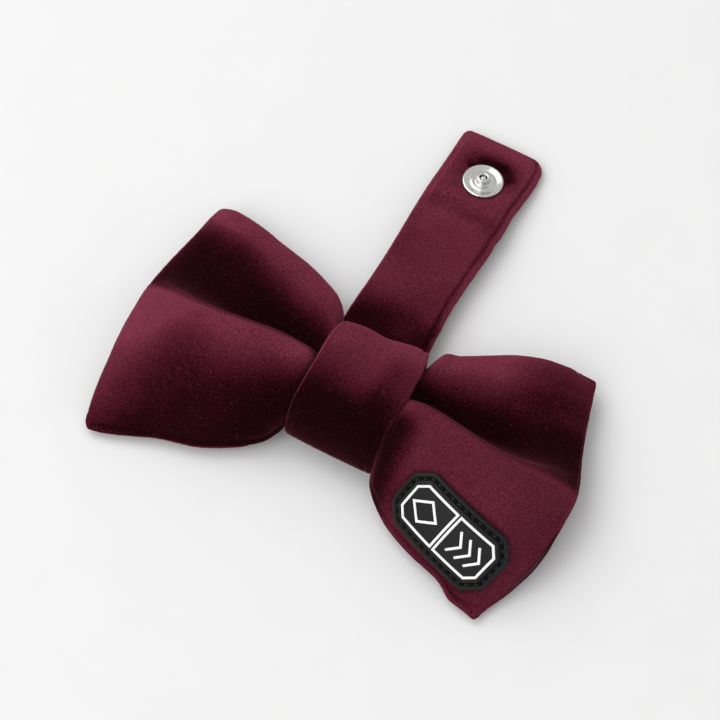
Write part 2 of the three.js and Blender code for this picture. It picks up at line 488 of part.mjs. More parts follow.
// ---------------------------------------------------------------- badge
// Long chamfered plate with a raised rim, a stitch groove and a raised white line motif.
const chamfered = (l, w, c, inset) => {
  const a = l / 2 - inset, b = w / 2 - inset, k = c - inset * 0.586;
  return [[-a + k, -b], [a - k, -b], [a, -b + k], [a, b - k], [a - k, b], [-a + k, b], [-a, b - k], [-a, -b + k]];
};
const plate = (pts, z0, z1, hole) => {
  const shape = new THREE.Shape(pts.map(([x, y]) => new THREE.Vector2(x, y)));
  if (hole) shape.holes.push(new THREE.Path(hole.map(([x, y]) => new THREE.Vector2(x, y))));
  const g = new THREE.ExtrudeGeometry(shape, { depth: z1 - z0, bevelEnabled: false });
  g.translate(0, 0, z0);
  return g;
};
const oct = (inset) => chamfered(BADGE_L, BADGE_W, BADGE_CUT, inset);
const badgeBase = solid(plate(oct(0), 0, BADGE_T)).subtract(solid(plate(oct(1.1), BADGE_T - 0.6, BADGE_T + 1, oct(2.0))));
const badgeThreadGeo = fromSolid(solid(plate(oct(1.37), BADGE_T - 0.33, BADGE_T - 0.03, oct(1.73))));
const MZ0 = BADGE_T + 0.2, MZ1 = BADGE_T + 0.55;
const bar = (x0, y0, x1, y1, w) => {
  const d = new THREE.Vector2(x1 - x0, y1 - y0), l = d.length(); d.normalize();
  const n = new THREE.Vector2(-d.y, d.x).multiplyScalar(w / 2);
  return solid(plate([[x0 + n.x, y0 + n.y], [x0 - n.x, y0 - n.y], [x1 - n.x, y1 - n.y], [x1 + n.x, y1 + n.y]], MZ0, MZ1));
};
const LW = 0.85;
const motifFrame = solid(plate(oct(3.0), MZ0, MZ1, oct(3.0 + LW))).add(bar(0, -6.1, 0, 6.1, LW));
const diamondOut = [[-7.6 - 4.4, 0], [-7.6, -3.9], [-7.6 + 4.4, 0], [-7.6, 3.9]];
const diamondIn = [[-7.6 - 3.1, 0], [-7.6, -2.75], [-7.6 + 3.1, 0], [-7.6, 2.75]];
const motifLeft = solid(plate(diamondOut, MZ0, MZ1, diamondIn));
let motifRight = null;
for (const k of [0, 1, 2]) {
  const x = 3.2 + k * 3.0;
  const v = bar(x, -3.6, x + 2.6, 0.1, LW).add(bar(x + 2.6, -0.1, x, 3.6, LW));
  motifRight = motifRight ? motifRight.add(v) : v;
}
// The three chevrons are joined by a fine spine, as moulded.
motifRight = motifRight.add(bar(4.6, 0, 12.2, 0, 0.5));

// ---------------------------------------------------------------- assembly
const bowTie = new THREE.Group();
const add = (parent, name, geo, material) => {
  const m = new THREE.Mesh(geo, material);
  m.name = name;
  parent.add(m);
  return m;
};
add(bowTie, 'bow_front_panel', frontGeo, VELVET);
add(bowTie, 'bow_back_panel', backGeo, VELVET_BACK);
add(bowTie, 'bow_wadding', paddingGeo, WADDING);
add(bowTie, 'bow_seam_thread', seamThreadGeo, THREAD_RED);
add(bowTie, 'waist_gathering_thread', gatherGeo, THREAD_RED);
add(bowTie, 'knot_band', fromSolid(knotBand), VELVET);
add(bowTie, 'knot_interlining', fromSolid(knotLining), LINING);
add(bowTie, 'knot_closing_stitches', closeGeo, THREAD_RED);
add(bowTie, 'snap_socket', socketGeo, STEEL);
add(bowTie, 'socket_spring', springGeo, STEEL);
add(bowTie, 'socket_post', socketPostGeo, STEEL);

// Badge: laid on the lower roll of the right wing, touching at its highest point.
const wingRay = (x, y) => {
  // Height of the front panel at (x, y), from its triangles.
  const p = frontGeo.attributes.position, ix = frontGeo.index.array;
  let best = -1e9;
  for (let i = 0; i < ix.length; i += 3) {
    const a = [p.getX(ix[i]), p.getY(ix[i]), p.getZ(ix[i])];
    const b = [p.getX(ix[i + 1]), p.getY(ix[i + 1]), p.getZ(ix[i + 1])];
    const c = [p.getX(ix[i + 2]), p.getY(ix[i + 2]), p.getZ(ix[i + 2])];
    const det = (b[1] - c[1]) * (a[0] - c[0]) + (c[0] - b[0]) * (a[1] - c[1]);
    if (Math.abs(det) < 1e-9) continue;
    const u = ((b[1] - c[1]) * (x - c[0]) + (c[0] - b[0]) * (y - c[1])) / det;
    const v = ((c[1] - a[1]) * (x - c[0]) + (a[0] - c[0]) * (y - c[1])) / det;
    if (u < -1e-6 || v < -1e-6 || u + v > 1 + 1e-6) continue;
    best = Math.max(best, u * a[2] + v * b[2] + (1 - u - v) * c[2]);
  }
  return best;
};
const badge = new THREE.Group();
{
  const turn = (BADGE_TURN * Math.PI) / 180, ca = Math.cos(turn), sa = Math.sin(turn);
  const h = 6;
  const zc = wingRay(...BADGE_AT);
  const dL = (wingRay(BADGE_AT[0] + ca * h, BADGE_AT[1] + sa * h) - wingRay(BADGE_AT[0] - ca * h, BADGE_AT[1] - sa * h)) / (2 * h);
  const dW = (wingRay(BADGE_AT[0] - sa * h, BADGE_AT[1] + ca * h) - wingRay(BADGE_AT[0] + sa * h, BADGE_AT[1] - ca * h)) / (2 * h);
  const ex = new THREE.Vector3(ca, sa, dL).normalize();
  const up0 = new THREE.Vector3(-sa, ca, dW).normalize();
  const ez = new THREE.Vector3().crossVectors(ex, up0).normalize();
  const ey = new THREE.Vector3().crossVectors(ez, ex);
  // Lift the plane until the whole plate clears the panel.
  let lift = 0;
  for (let a = -1; a <= 1.001; a += 0.1) for (let b = -1; b <= 1.001; b += 0.1) {
    const x = BADGE_AT[0] + ex.x * a * BADGE_L / 2 + ey.x * b * BADGE_W / 2;
    const y = BADGE_AT[1] + ex.y * a * BADGE_L / 2 + ey.y * b * BADGE_W / 2;
    const zp = zc + ex.z * a * BADGE_L / 2 + ey.z * b * BADGE_W / 2;
    const w = wingRay(x, y);
    if (w > 0) lift = Math.max(lift, (w - zp) * ez.z);
  }
  lift += 0.3;
  const m = new THREE.Matrix4().makeBasis(ex, ey, ez);
  badge.quaternion.setFromRotationMatrix(m);
  badge.position.set(BADGE_AT[0] + ez.x * lift, BADGE_AT[1] + ez.y * lift, zc + ez.z * lift);
}
add(badge, 'badge_base', fromSolid(badgeBase), RUBBER);
add(badge, 'badge_stitching', badgeThreadGeo, THREAD_BLACK);
add(badge, 'badge_motif_frame', fromSolid(motifFrame), WHITE);
add(badge, 'badge_motif_diamond', fromSolid(motifLeft), WHITE);
add(badge, 'badge_motif_chevrons', fromSolid(motifRight), WHITE);
bowTie.add(badge);

// Strap: four lengths in a chain, each turned about its own fold line.
let at = bowTie, lastSlope = 0, offset = [0, FOLD_1[0], FOLD_1[1]];
for (let k = 0; k < 4; k++) {
  const g = new THREE.Group();
  g.position.set(...offset);
  g.rotation.x = ((STRAP_SLOPE[k] - lastSlope) * Math.PI) / 180;
  lastSlope = STRAP_SLOPE[k];
  add(g, `strap_sleeve_${k + 1}`, fromSolid(sleeves[k]), VELVET);
  add(g, `strap_interlining_${k + 1}`, fromSolid(linings[k]), LINING);
  if (k === 3) {
    add(g, 'snap_stud', studGeo, STEEL);
    add(g, 'stud_post', studPostGeo, STEEL);
  }
  at.add(g);
  at = g;
  offset = [0, STRAP_L[k], 0];
}

// Stand the whole bow tie on z = 0 with its box centred on the origin.
bowTie.updateMatrixWorld(true);
const box = new THREE.Box3().setFromObject(bowTie, true);
bowTie.position.set(-(box.min.x + box.max.x) / 2, -(box.min.y + box.max.y) / 2, -box.min.z);
bowTie.updateMatrixWorld(true);

export default bowTie;
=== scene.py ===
# Looks of the velvet bow tie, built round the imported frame. Lengths in the tables are
# millimetres in the design frame: origin at the knot's centre in plan, z = 0 the table,
# +X along the bow, +Y along the strap, +Z out of the face.
import math

import bmesh
import bpy
import numpy as np
from mathutils import Matrix, Vector
from mathutils.bvhtree import BVHTree


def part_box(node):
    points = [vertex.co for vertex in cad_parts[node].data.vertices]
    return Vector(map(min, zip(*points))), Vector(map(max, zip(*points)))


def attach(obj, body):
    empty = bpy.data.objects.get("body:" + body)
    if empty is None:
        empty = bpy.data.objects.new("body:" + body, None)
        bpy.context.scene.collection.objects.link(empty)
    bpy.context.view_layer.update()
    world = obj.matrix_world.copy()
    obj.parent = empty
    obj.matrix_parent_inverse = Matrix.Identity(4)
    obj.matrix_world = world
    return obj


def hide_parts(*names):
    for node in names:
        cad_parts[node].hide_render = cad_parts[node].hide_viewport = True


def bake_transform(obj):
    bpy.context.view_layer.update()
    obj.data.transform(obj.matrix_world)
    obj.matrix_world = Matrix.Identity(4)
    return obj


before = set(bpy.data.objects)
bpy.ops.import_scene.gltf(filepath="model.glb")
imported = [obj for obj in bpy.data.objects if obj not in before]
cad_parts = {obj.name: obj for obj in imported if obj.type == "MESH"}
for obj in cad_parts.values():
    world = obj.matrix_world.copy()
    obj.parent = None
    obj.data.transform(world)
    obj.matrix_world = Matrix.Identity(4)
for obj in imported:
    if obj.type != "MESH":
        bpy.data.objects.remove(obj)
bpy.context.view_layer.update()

# The socket's axis and top face are known in the design frame, so they give the shift.
_lo, _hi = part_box("snap_socket")
SHIFT = np.array([(_lo.x + _hi.x) / 2 * 1000 + 3.3, (_lo.y + _hi.y) / 2 * 1000 - 0.5, _hi.z * 1000 - 2.45])


def row(p):
    """Design millimetres to the row frame in metres."""
    return (np.asarray(p, float) + SHIFT) / 1000.0


# ------------------------------------------------------------------ small maths
def hermite(xk, yk, x):
    """Smooth interpolation of rows yk at keys xk, for each x. Tangents don't overshoot."""
    xk, yk, x = np.asarray(xk, float), np.asarray(yk, float), np.atleast_1d(np.asarray(x, float))
    h = np.diff(xk)
    shape = (-1,) + (1,) * (yk.ndim - 1)
    d = np.diff(yk, axis=0) / h.reshape(shape)
    m = np.zeros_like(yk)
    m[0], m[-1] = d[0], d[-1]
    w1 = (2 * h[1:] + h[:-1]).reshape(shape)
    w2 = (h[1:] + 2 * h[:-1]).reshape(shape)
    with np.errstate(divide="ignore", invalid="ignore"):
        harm = (w1 + w2) / (w1 / d[:-1] + w2 / d[1:])
    m[1:-1] = np.where(d[:-1] * d[1:] > 0, np.nan_to_num(harm), 0.0)
    i = np.clip(np.searchsorted(xk, x, side="right") - 1, 0, len(xk) - 2)
    t = ((np.clip(x, xk[0], xk[-1]) - xk[i]) / h[i]).reshape((-1,) + (1,) * (yk.ndim - 1))
    hi = h[i].reshape(t.shape)
    return (
        (2 * t**3 - 3 * t**2 + 1) * yk[i] + (t**3 - 2 * t**2 + t) * hi * m[i]
        + (-2 * t**3 + 3 * t**2) * yk[i + 1] + (t**3 - t**2) * hi * m[i + 1]
    )


def spline(pts, n):
    """Centripetal Catmull-Rom through pts, n samples at even arc length."""
    p = np.asarray(pts, float)
    p = np.vstack([2 * p[0] - p[1], p, 2 * p[-1] - p[-2]])
    out = []
    for i in range(1, len(p) - 2):
        k = [0.0]
        for a, b in ((i - 1, i), (i, i + 1), (i + 1, i + 2)):
            k.append(k[-1] + max(np.linalg.norm(p[b] - p[a]) ** 0.5, 1e-6))
        t = np.linspace(k[1], k[2], 24, endpoint=False)[:, None]
        a1 = (k[1] - t) / (k[1] - k[0]) * p[i - 1] + (t - k[0]) / (k[1] - k[0]) * p[i]
        a2 = (k[2] - t) / (k[2] - k[1]) * p[i] + (t - k[1]) / (k[2] - k[1]) * p[i + 1]
        a3 = (k[3] - t) / (k[3] - k[2]) * p[i + 1] + (t - k[2]) / (k[3] - k[2]) * p[i + 2]
        b1 = (k[2] - t) / (k[2] - k[0]) * a1 + (t - k[0]) / (k[2] - k[0]) * a2
        b2 = (k[3] - t) / (k[3] - k[1]) * a2 + (t - k[1]) / (k[3] - k[1]) * a3
        out.append((k[2] - t) / (k[2] - k[1]) * b1 + (t - k[1]) / (k[2] - k[1]) * b2)
    out = np.vstack(out + [p[-2:-1]])
    s = np.concatenate([[0], np.cumsum(np.linalg.norm(np.diff(out, axis=0), axis=1))])
    at = np.linspace(0, s[-1], n)
    return np.stack([np.interp(at, s, out[:, k]) for k in range(out.shape[1])], 1)


def smooth(x, a, b):
    t = np.clip((np.asarray(x, float) - a) / (b - a), 0, 1)
    return t * t * (3 - 2 * t)


def noise3(p, size, seed=0):
    """Value noise in -1..1 with features about size long, the same on every run."""
    q = np.asarray(p, float) / size
    i = np.floor(q).astype(np.int64)
    f = q - i
    f = f * f * (3 - 2 * f)

    def h(dx, dy, dz):
        a = (i[:, 0] + dx) * 374761393 + (i[:, 1] + dy) * 668265263 + (i[:, 2] + dz) * 2147483647 + seed * 974634777
        a = (a ^ (a >> 13)) * 1274126177
        a = (a ^ (a >> 16)) & 0xFFFFFF
        return a / float(0xFFFFFF) * 2 - 1

    def mix(a, b, t):
        return a + (b - a) * t

    x0 = mix(h(0, 0, 0), h(1, 0, 0), f[:, 0])
    x1 = mix(h(0, 1, 0), h(1, 1, 0), f[:, 0])
    x2 = mix(h(0, 0, 1), h(1, 0, 1), f[:, 0])
    x3 = mix(h(0, 1, 1), h(1, 1, 1), f[:, 0])
    return mix(mix(x0, x1, f[:, 1]), mix(x2, x3, f[:, 1]), f[:, 2])


# ------------------------------------------------------------------ mesh helpers
def make_mesh(name, verts_mm, faces, material, smooth_shade=True):
    me = bpy.data.meshes.new(name)
    me.from_pydata([tuple(v) for v in row(verts_mm)], [], [tuple(int(k) for k in f) for f in faces])
    me.update()
    bm = bmesh.new()
    bm.from_mesh(me)
    bmesh.ops.remove_doubles(bm, verts=bm.verts, dist=2e-6)
    bmesh.ops.dissolve_degenerate(bm, dist=1e-7, edges=bm.edges)
    bmesh.ops.recalc_face_normals(bm, faces=bm.faces)
    bm.to_mesh(me)
    bm.free()
    for p in me.polygons:
        p.use_smooth = smooth_shade
    ob = bpy.data.objects.new(name, me)
    bpy.context.scene.collection.objects.link(ob)
    me.materials.append(material)
    return ob


def get_mm(ob):
    co = np.zeros(len(ob.data.vertices) * 3)
    ob.data.vertices.foreach_get("co", co)
    return co.reshape(-1, 3) * 1000 - SHIFT


def set_mm(ob, v):
    ob.data.vertices.foreach_set("co", row(v).ravel())
    ob.data.update()


def normals_of(ob):
    n = np.zeros(len(ob.data.vertices) * 3)
    ob.data.vertices.foreach_get("normal", n)
    return n.reshape(-1, 3)


def pile(ob, amount=0.06, size=0.75, seed=1, keep=None):
    """Lifts the surface by the uneven ends of the pile, so that its outline isn't a clean line."""
    v, n = get_mm(ob), normals_of(ob)
    d = amount * (noise3(v, size, seed) * 0.6 + noise3(v, size * 0.45, seed + 7) * 0.4)
    if keep is not None:
        d = d * keep(v)
    set_mm(ob, v + n * d[:, None])


def ring_faces(n_rings, n, closed_rings=False, caps=True):
    f = []
    last = n_rings if closed_rings else n_rings - 1
    for i in range(last):
        a, b = i * n, ((i + 1) % n_rings) * n
        for k in range(n):
            k2 = (k + 1) % n
            f.append((a + k, a + k2, b + k2, b + k))
    return f


def lathe(name, profile, at, tilt_deg, material, segs=96):
    """A closed ring or a solid turned about an axis through `at`, tilted about X."""
    p = np.asarray(profile, float)
    ang = np.linspace(0, 2 * np.pi, segs, endpoint=False)
    v = np.stack([
        np.outer(np.cos(ang), p[:, 0]), np.outer(np.sin(ang), p[:, 0]), np.tile(p[:, 1], (segs, 1))
    ], -1).reshape(-1, 3)
    on_axis = p[0, 0] < 1e-6
    n = len(p)
    f = []
    for i in range(segs):
        j = (i + 1) % segs
        for k in range(n if not on_axis else n - 1):
            k2 = (k + 1) % n
            f.append((i * n + k, j * n + k, j * n + k2, i * n + k2))
    t = math.radians(tilt_deg)
    R = np.array([[1, 0, 0], [0, math.cos(t), -math.sin(t)], [0, math.sin(t), math.cos(t)]])
    return make_mesh(name, v @ R.T + np.asarray(at, float), f, material)


# ------------------------------------------------------------------ materials
def new_material(name):
    m = bpy.data.materials.new(name)
    m.use_nodes = True
    nt = m.node_tree
    nt.nodes.clear()
    out = nt.nodes.new("ShaderNodeOutputMaterial")
    bsdf = nt.nodes.new("ShaderNodeBsdfPrincipled")
    nt.links.new(bsdf.outputs[0], out.inputs[0])
    return m, nt, bsdf


def coords(nt):
    return nt.nodes.new("ShaderNodeTexCoord").outputs["Object"]


def noise_node(nt, vec, scale, detail=3.0, rough=0.55):
    n = nt.nodes.new("ShaderNodeTexNoise")
    n.inputs["Scale"].default_value = scale
    n.inputs["Detail"].default_value = detail
    n.inputs["Roughness"].default_value = rough
    nt.links.new(vec, n.inputs["Vector"])
    return n.outputs["Fac"]


def ramp(nt, fac, stops):
    r = nt.nodes.new("ShaderNodeValToRGB")
    r.color_ramp.elements[0].position, r.color_ramp.elements[0].color = stops[0][0], (*stops[0][1], 1)
    r.color_ramp.elements[1].position, r.color_ramp.elements[1].color = stops[-1][0], (*stops[-1][1], 1)
    for pos, col in stops[1:-1]:
        e = r.color_ramp.elements.new(pos)
        e.color = (*col, 1)
    nt.links.new(fac, r.inputs[0])
    return r.outputs[0]


def mix_rgb(nt, a, b, fac, mode="MIX"):
    m = nt.nodes.new("ShaderNodeMix")
    m.data_type = "RGBA"
    m.blend_type = mode
    for sock, val in ((m.inputs[0], fac), (m.inputs[6], a), (m.inputs[7], b)):
        if isinstance(val, (int, float)):
            sock.default_value = val
        elif isinstance(val, tuple):
            sock.default_value = (*val, 1)
        else:
            nt.links.new(val, sock)
    return m.outputs[2]


def math_node(nt, op, a, b=None):
    m = nt.nodes.new("ShaderNodeMath")
    m.operation = op
    for sock, val in ((m.inputs[0], a), (m.inputs[1], b)):
        if val is None:
            continue
        if isinstance(val, (int, float)):
            sock.default_value = val
        else:
            nt.links.new(val, sock)
    return m.outputs[0]


def bump(nt, bsdf, height, distance, strength=1.0):
    b = nt.nodes.new("ShaderNodeBump")
    b.inputs["Distance"].default_value = distance
    b.inputs["Strength"].default_value = strength
    nt.links.new(height, b.inputs["Height"])
    nt.links.new(b.outputs[0], bsdf.inputs["Normal"])


def velvet_material(name):
    """Cut pile. The base colour runs from dark to pale by the nap_and_painted_shade attribute, which is partly which
    way the pile lies and partly painted shade and painted light: 0 dark, 1 pale.
    """
    m, nt, bsdf = new_material(name)
    c = coords(nt)
    grain = noise_node(nt, c, 2300, 2.0, 0.7)          # pile ends, about 0.4 mm
    tuft = noise_node(nt, c, 1300, 2.0, 0.5)           # small tufts
    sweep_ = noise_node(nt, c, 95, 3.0, 0.6)           # where a hand has turned the pile
    lay_and_shade_attr = nt.nodes.new("ShaderNodeAttribute")
    lay_and_shade_attr.attribute_type = "GEOMETRY"
    lay_and_shade_attr.attribute_name = "nap_and_painted_shade"
    turned = math_node(nt, "MULTIPLY", math_node(nt, "SUBTRACT", sweep_, 0.5), 0.16)
    speck = math_node(nt, "MULTIPLY", math_node(nt, "SUBTRACT", grain, 0.5), 1.15)
    v = math_node(nt, "ADD", math_node(nt, "ADD", lay_and_shade_attr.outputs["Fac"], turned), speck)
    # Base colour from that attribute: the dark end is partly painted shade, the pale end partly painted light, and the
    # rest the pile's lay.
    col = ramp(nt, v, [
        (0.0, (0.0050, 0.0006, 0.0012)), (0.25, (0.0170, 0.0012, 0.0036)), (0.55, (0.055, 0.0060, 0.0138)),
        (0.85, (0.098, 0.0145, 0.0275)), (1.0, (0.148, 0.0255, 0.0440)),
    ])
    # Painted glints: a few fibre tips are painted lighter, as if catching the light.
    painted_glints = ramp(nt, noise_node(nt, c, 2100, 1.0, 0.5), [(0.70, (0, 0, 0)), (0.82, (0.075, 0.026, 0.036))])
    col = mix_rgb(nt, col, painted_glints, 1.0, "ADD")
    nt.links.new(col, bsdf.inputs["Base Color"])
    bsdf.inputs["Roughness"].default_value = 0.95
    bsdf.inputs["Specular IOR Level"].default_value = 0.015
    bsdf.inputs["Sheen Weight"].default_value = 0.52
    bsdf.inputs["Sheen Roughness"].default_value = 0.45
    bsdf.inputs["Sheen Tint"].default_value = (0.40, 0.082, 0.132, 1)
    h = math_node(nt, "ADD", math_node(nt, "MULTIPLY", grain, 0.6), math_node(nt, "MULTIPLY", tuft, 0.4))
    bump(nt, bsdf, h, 0.00025, 0.75)
    return m


VELVET = velvet_material("velvet_burgundy")


def paint_nap_and_shade(ob, extra=None):
    """Stores painted shade and light together with the pile's lay, from the piece's normals at rest: the pile is
    brushed up the bow, so slopes that fall towards -Y are painted darker, as if looking into it, and faces turned
    towards -X and +X are painted lighter.
    """
    v, n = get_mm(ob), normals_of(ob)
    a = smooth(n[:, 1], -0.42, 0.10) * 0.92
    a = a + 0.45 * smooth(-n[:, 0], 0.22, 0.62) + 0.25 * smooth(n[:, 0], 0.25, 0.65)
    if extra is not None:
        a = a + extra(v, n)
    a = a + 0.10 * noise3(v, 9.0, 21)
    a = np.clip(a, 0.0, 1.0)
    at = ob.data.attributes.new("nap_and_painted_shade", "FLOAT", "POINT")
    at.data.foreach_set("value", a.astype(np.float32))


def metal_material(name):
    m, nt, bsdf = new_material(name)
    c = coords(nt)
    bsdf.inputs["Metallic"].default_value = 1.0
    n = noise_node(nt, c, 1400, 3.0, 0.6)
    nt.links.new(ramp(nt, n, [(0.3, (0.56, 0.56, 0.55)), (0.7, (0.68, 0.68, 0.66))]), bsdf.inputs["Base Color"])
    r = nt.nodes.new("ShaderNodeMapRange")
    r.inputs[3].default_value, r.inputs[4].default_value = 0.18, 0.28
    nt.links.new(n, r.inputs[0])
    nt.links.new(r.outputs[0], bsdf.inputs["Roughness"])
    bump(nt, bsdf, noise_node(nt, c, 420, 2.0), 0.00002, 0.25)
    return m


METAL = metal_material("nickel")


def rubber_material(name, lo, hi, rough=0.5):
    m, nt, bsdf = new_material(name)
    c = coords(nt)
    n = noise_node(nt, c, 1500, 3.0, 0.6)
    big = noise_node(nt, c, 160, 2.0)
    col = mix_rgb(nt, ramp(nt, n, [(0.3, lo), (0.7, hi)]), ramp(nt, big, [(0.3, (0.88, 0.88, 0.88)), (0.7, (1.1, 1.1, 1.1))]), 1.0, "MULTIPLY")
    nt.links.new(col, bsdf.inputs["Base Color"])
    r = nt.nodes.new("ShaderNodeMapRange")
    r.inputs[3].default_value, r.inputs[4].default_value = rough - 0.07, rough + 0.1
    nt.links.new(big, r.inputs[0])
    nt.links.new(r.outputs[0], bsdf.inputs["Roughness"])
    bsdf.inputs["Specular IOR Level"].default_value = 0.45
    bump(nt, bsdf, n, 0.00006, 0.5)
    return m


RUBBER = rubber_material("rubber_black", (0.0042, 0.0043, 0.0043), (0.0078, 0.0078, 0.0078), 0.5)
RUBBER.node_tree.nodes["Principled BSDF"].inputs["Specular IOR Level"].default_value = 0.2
WHITE = rubber_material("rubber_white", (0.80, 0.80, 0.79), (0.92, 0.92, 0.91), 0.42)


def thread_material(name, lo, hi, twist=900.0):
    m, nt, bsdf = new_material(name)
    c = coords(nt)
    w = nt.nodes.new("ShaderNodeTexWave")
    w.wave_type = "BANDS"
    w.bands_direction = "DIAGONAL"
    w.inputs["Scale"].default_value = twist
    w.inputs["Distortion"].default_value = 1.5
    nt.links.new(c, w.inputs["Vector"])
    nt.links.new(ramp(nt, w.outputs["Fac"], [(0.2, lo), (0.8, hi)]), bsdf.inputs["Base Color"])
    bsdf.inputs["Roughness"].default_value = 0.7
    bsdf.inputs["Sheen Weight"].default_value = 0.3
    bump(nt, bsdf, w.outputs["Fac"], 0.00008, 0.7)
    return m


THREAD_BLACK = thread_material("thread_black", (0.0008, 0.0008, 0.0008), (0.0035, 0.0035, 0.0036))
THREAD_BLACK.node_tree.nodes["Principled BSDF"].inputs["Specular IOR Level"].default_value = 0.1
THREAD_BLACK.node_tree.nodes["Principled BSDF"].inputs["Sheen Weight"].default_value = 0.02
THREAD_RED = thread_material("thread_burgundy", (0.03, 0.003, 0.008), (0.09, 0.01, 0.02))


def cloth_material(name, lo, hi, scale=1600.0):
    m, nt, bsdf = new_material(name)
    c = coords(nt)
    n = noise_node(nt, c, scale, 4.0, 0.7)
    nt.links.new(ramp(nt, n, [(0.3, lo), (0.7, hi)]), bsdf.inputs["Base Color"])
    bsdf.inputs["Roughness"].default_value = 0.9
    bsdf.inputs["Sheen Weight"].default_value = 0.4
    bump(nt, bsdf, n, 0.0002, 0.7)
    return m


WADDING = cloth_material("wadding", (0.62, 0.60, 0.56), (0.86, 0.85, 0.82), 700.0)
LINING = cloth_material("interlining", (0.5, 0.47, 0.40), (0.74, 0.71, 0.64), 2400.0)

# ------------------------------------------------------------------ camera, light, floor
AZ, EL, DIST = math.radians(29), math.radians(61), 750.0
TARGET = np.array([-6.944, 14.594, 0.0])
BACK = np.array([math.sin(AZ) * math.cos(EL), -math.cos(AZ) * math.cos(EL), math.sin(EL)])
cam_data = bpy.data.cameras.new("camera")
cam = bpy.data.objects.new("camera", cam_data)
bpy.context.scene.collection.objects.link(cam)
cam_data.sensor_width = 36.0
cam_data.lens = 36.0 * (DIST / 0.2646) / 720.0
cam.location = Vector(row(TARGET + BACK * DIST))
cam.rotation_euler = Vector(tuple(-BACK)).to_track_quat("-Z", "Y").to_euler()
cam_data.clip_start, cam_data.clip_end = 0.01, 20.0
bpy.context.scene.camera = cam

LIGHT = 1.2
scene = bpy.context.scene
scene.view_settings.view_transform = "Standard"
scene.view_settings.look = "None"
world = bpy.data.worlds.new("studio")
scene.world = world
world.use_nodes = True
bg = world.node_tree.nodes["Background"]
bg.inputs[0].default_value = (1.0, 0.997, 0.995, 1)
bg.inputs[1].default_value = 0.60 * LIGHT


def area_light(name, direction, dist, size, power, color=(1, 1, 1)):
    d = bpy.data.lights.new(name, "AREA")
    d.shape = "DISK"
    d.size = size
    d.energy = power
    d.color = color
    o = bpy.data.objects.new(name, d)
    scene.collection.objects.link(o)
    v = Vector(direction).normalized()
    o.location = Vector(row((0, 20, 0))) + v * dist
    o.rotation_euler = (-v).to_track_quat("-Z", "Y").to_euler()
    return o


area_light("key", (-0.88, 0.22, 1.15), 1.2, 1.1, 4.9 * LIGHT)
area_light("front", (-0.30, -0.95, 1.0), 1.5, 1.3, 7.0 * LIGHT)


floor_m, nt, bsdf = new_material("paper")
n = noise_node(nt, coords(nt), 60, 2.0)
nt.links.new(ramp(nt, n, [(0.2, (0.735, 0.735, 0.735)), (0.8, (0.750, 0.750, 0.750))]), bsdf.inputs["Base Color"])
bsdf.inputs["Roughness"].default_value = 0.95
bsdf.inputs["Specular IOR Level"].default_value = 0.1
me = bpy.data.meshes.new("floor")
s = 3.0
me.from_pydata([(-s, -s, 0), (s, -s, 0), (s, s, 0), (-s, s, 0)], [], [(0, 1, 2, 3)])
me.materials.append(floor_m)
floor = bpy.data.objects.new("floor", me)
floor.location.z = -0.00005
scene.collection.objects.link(floor)

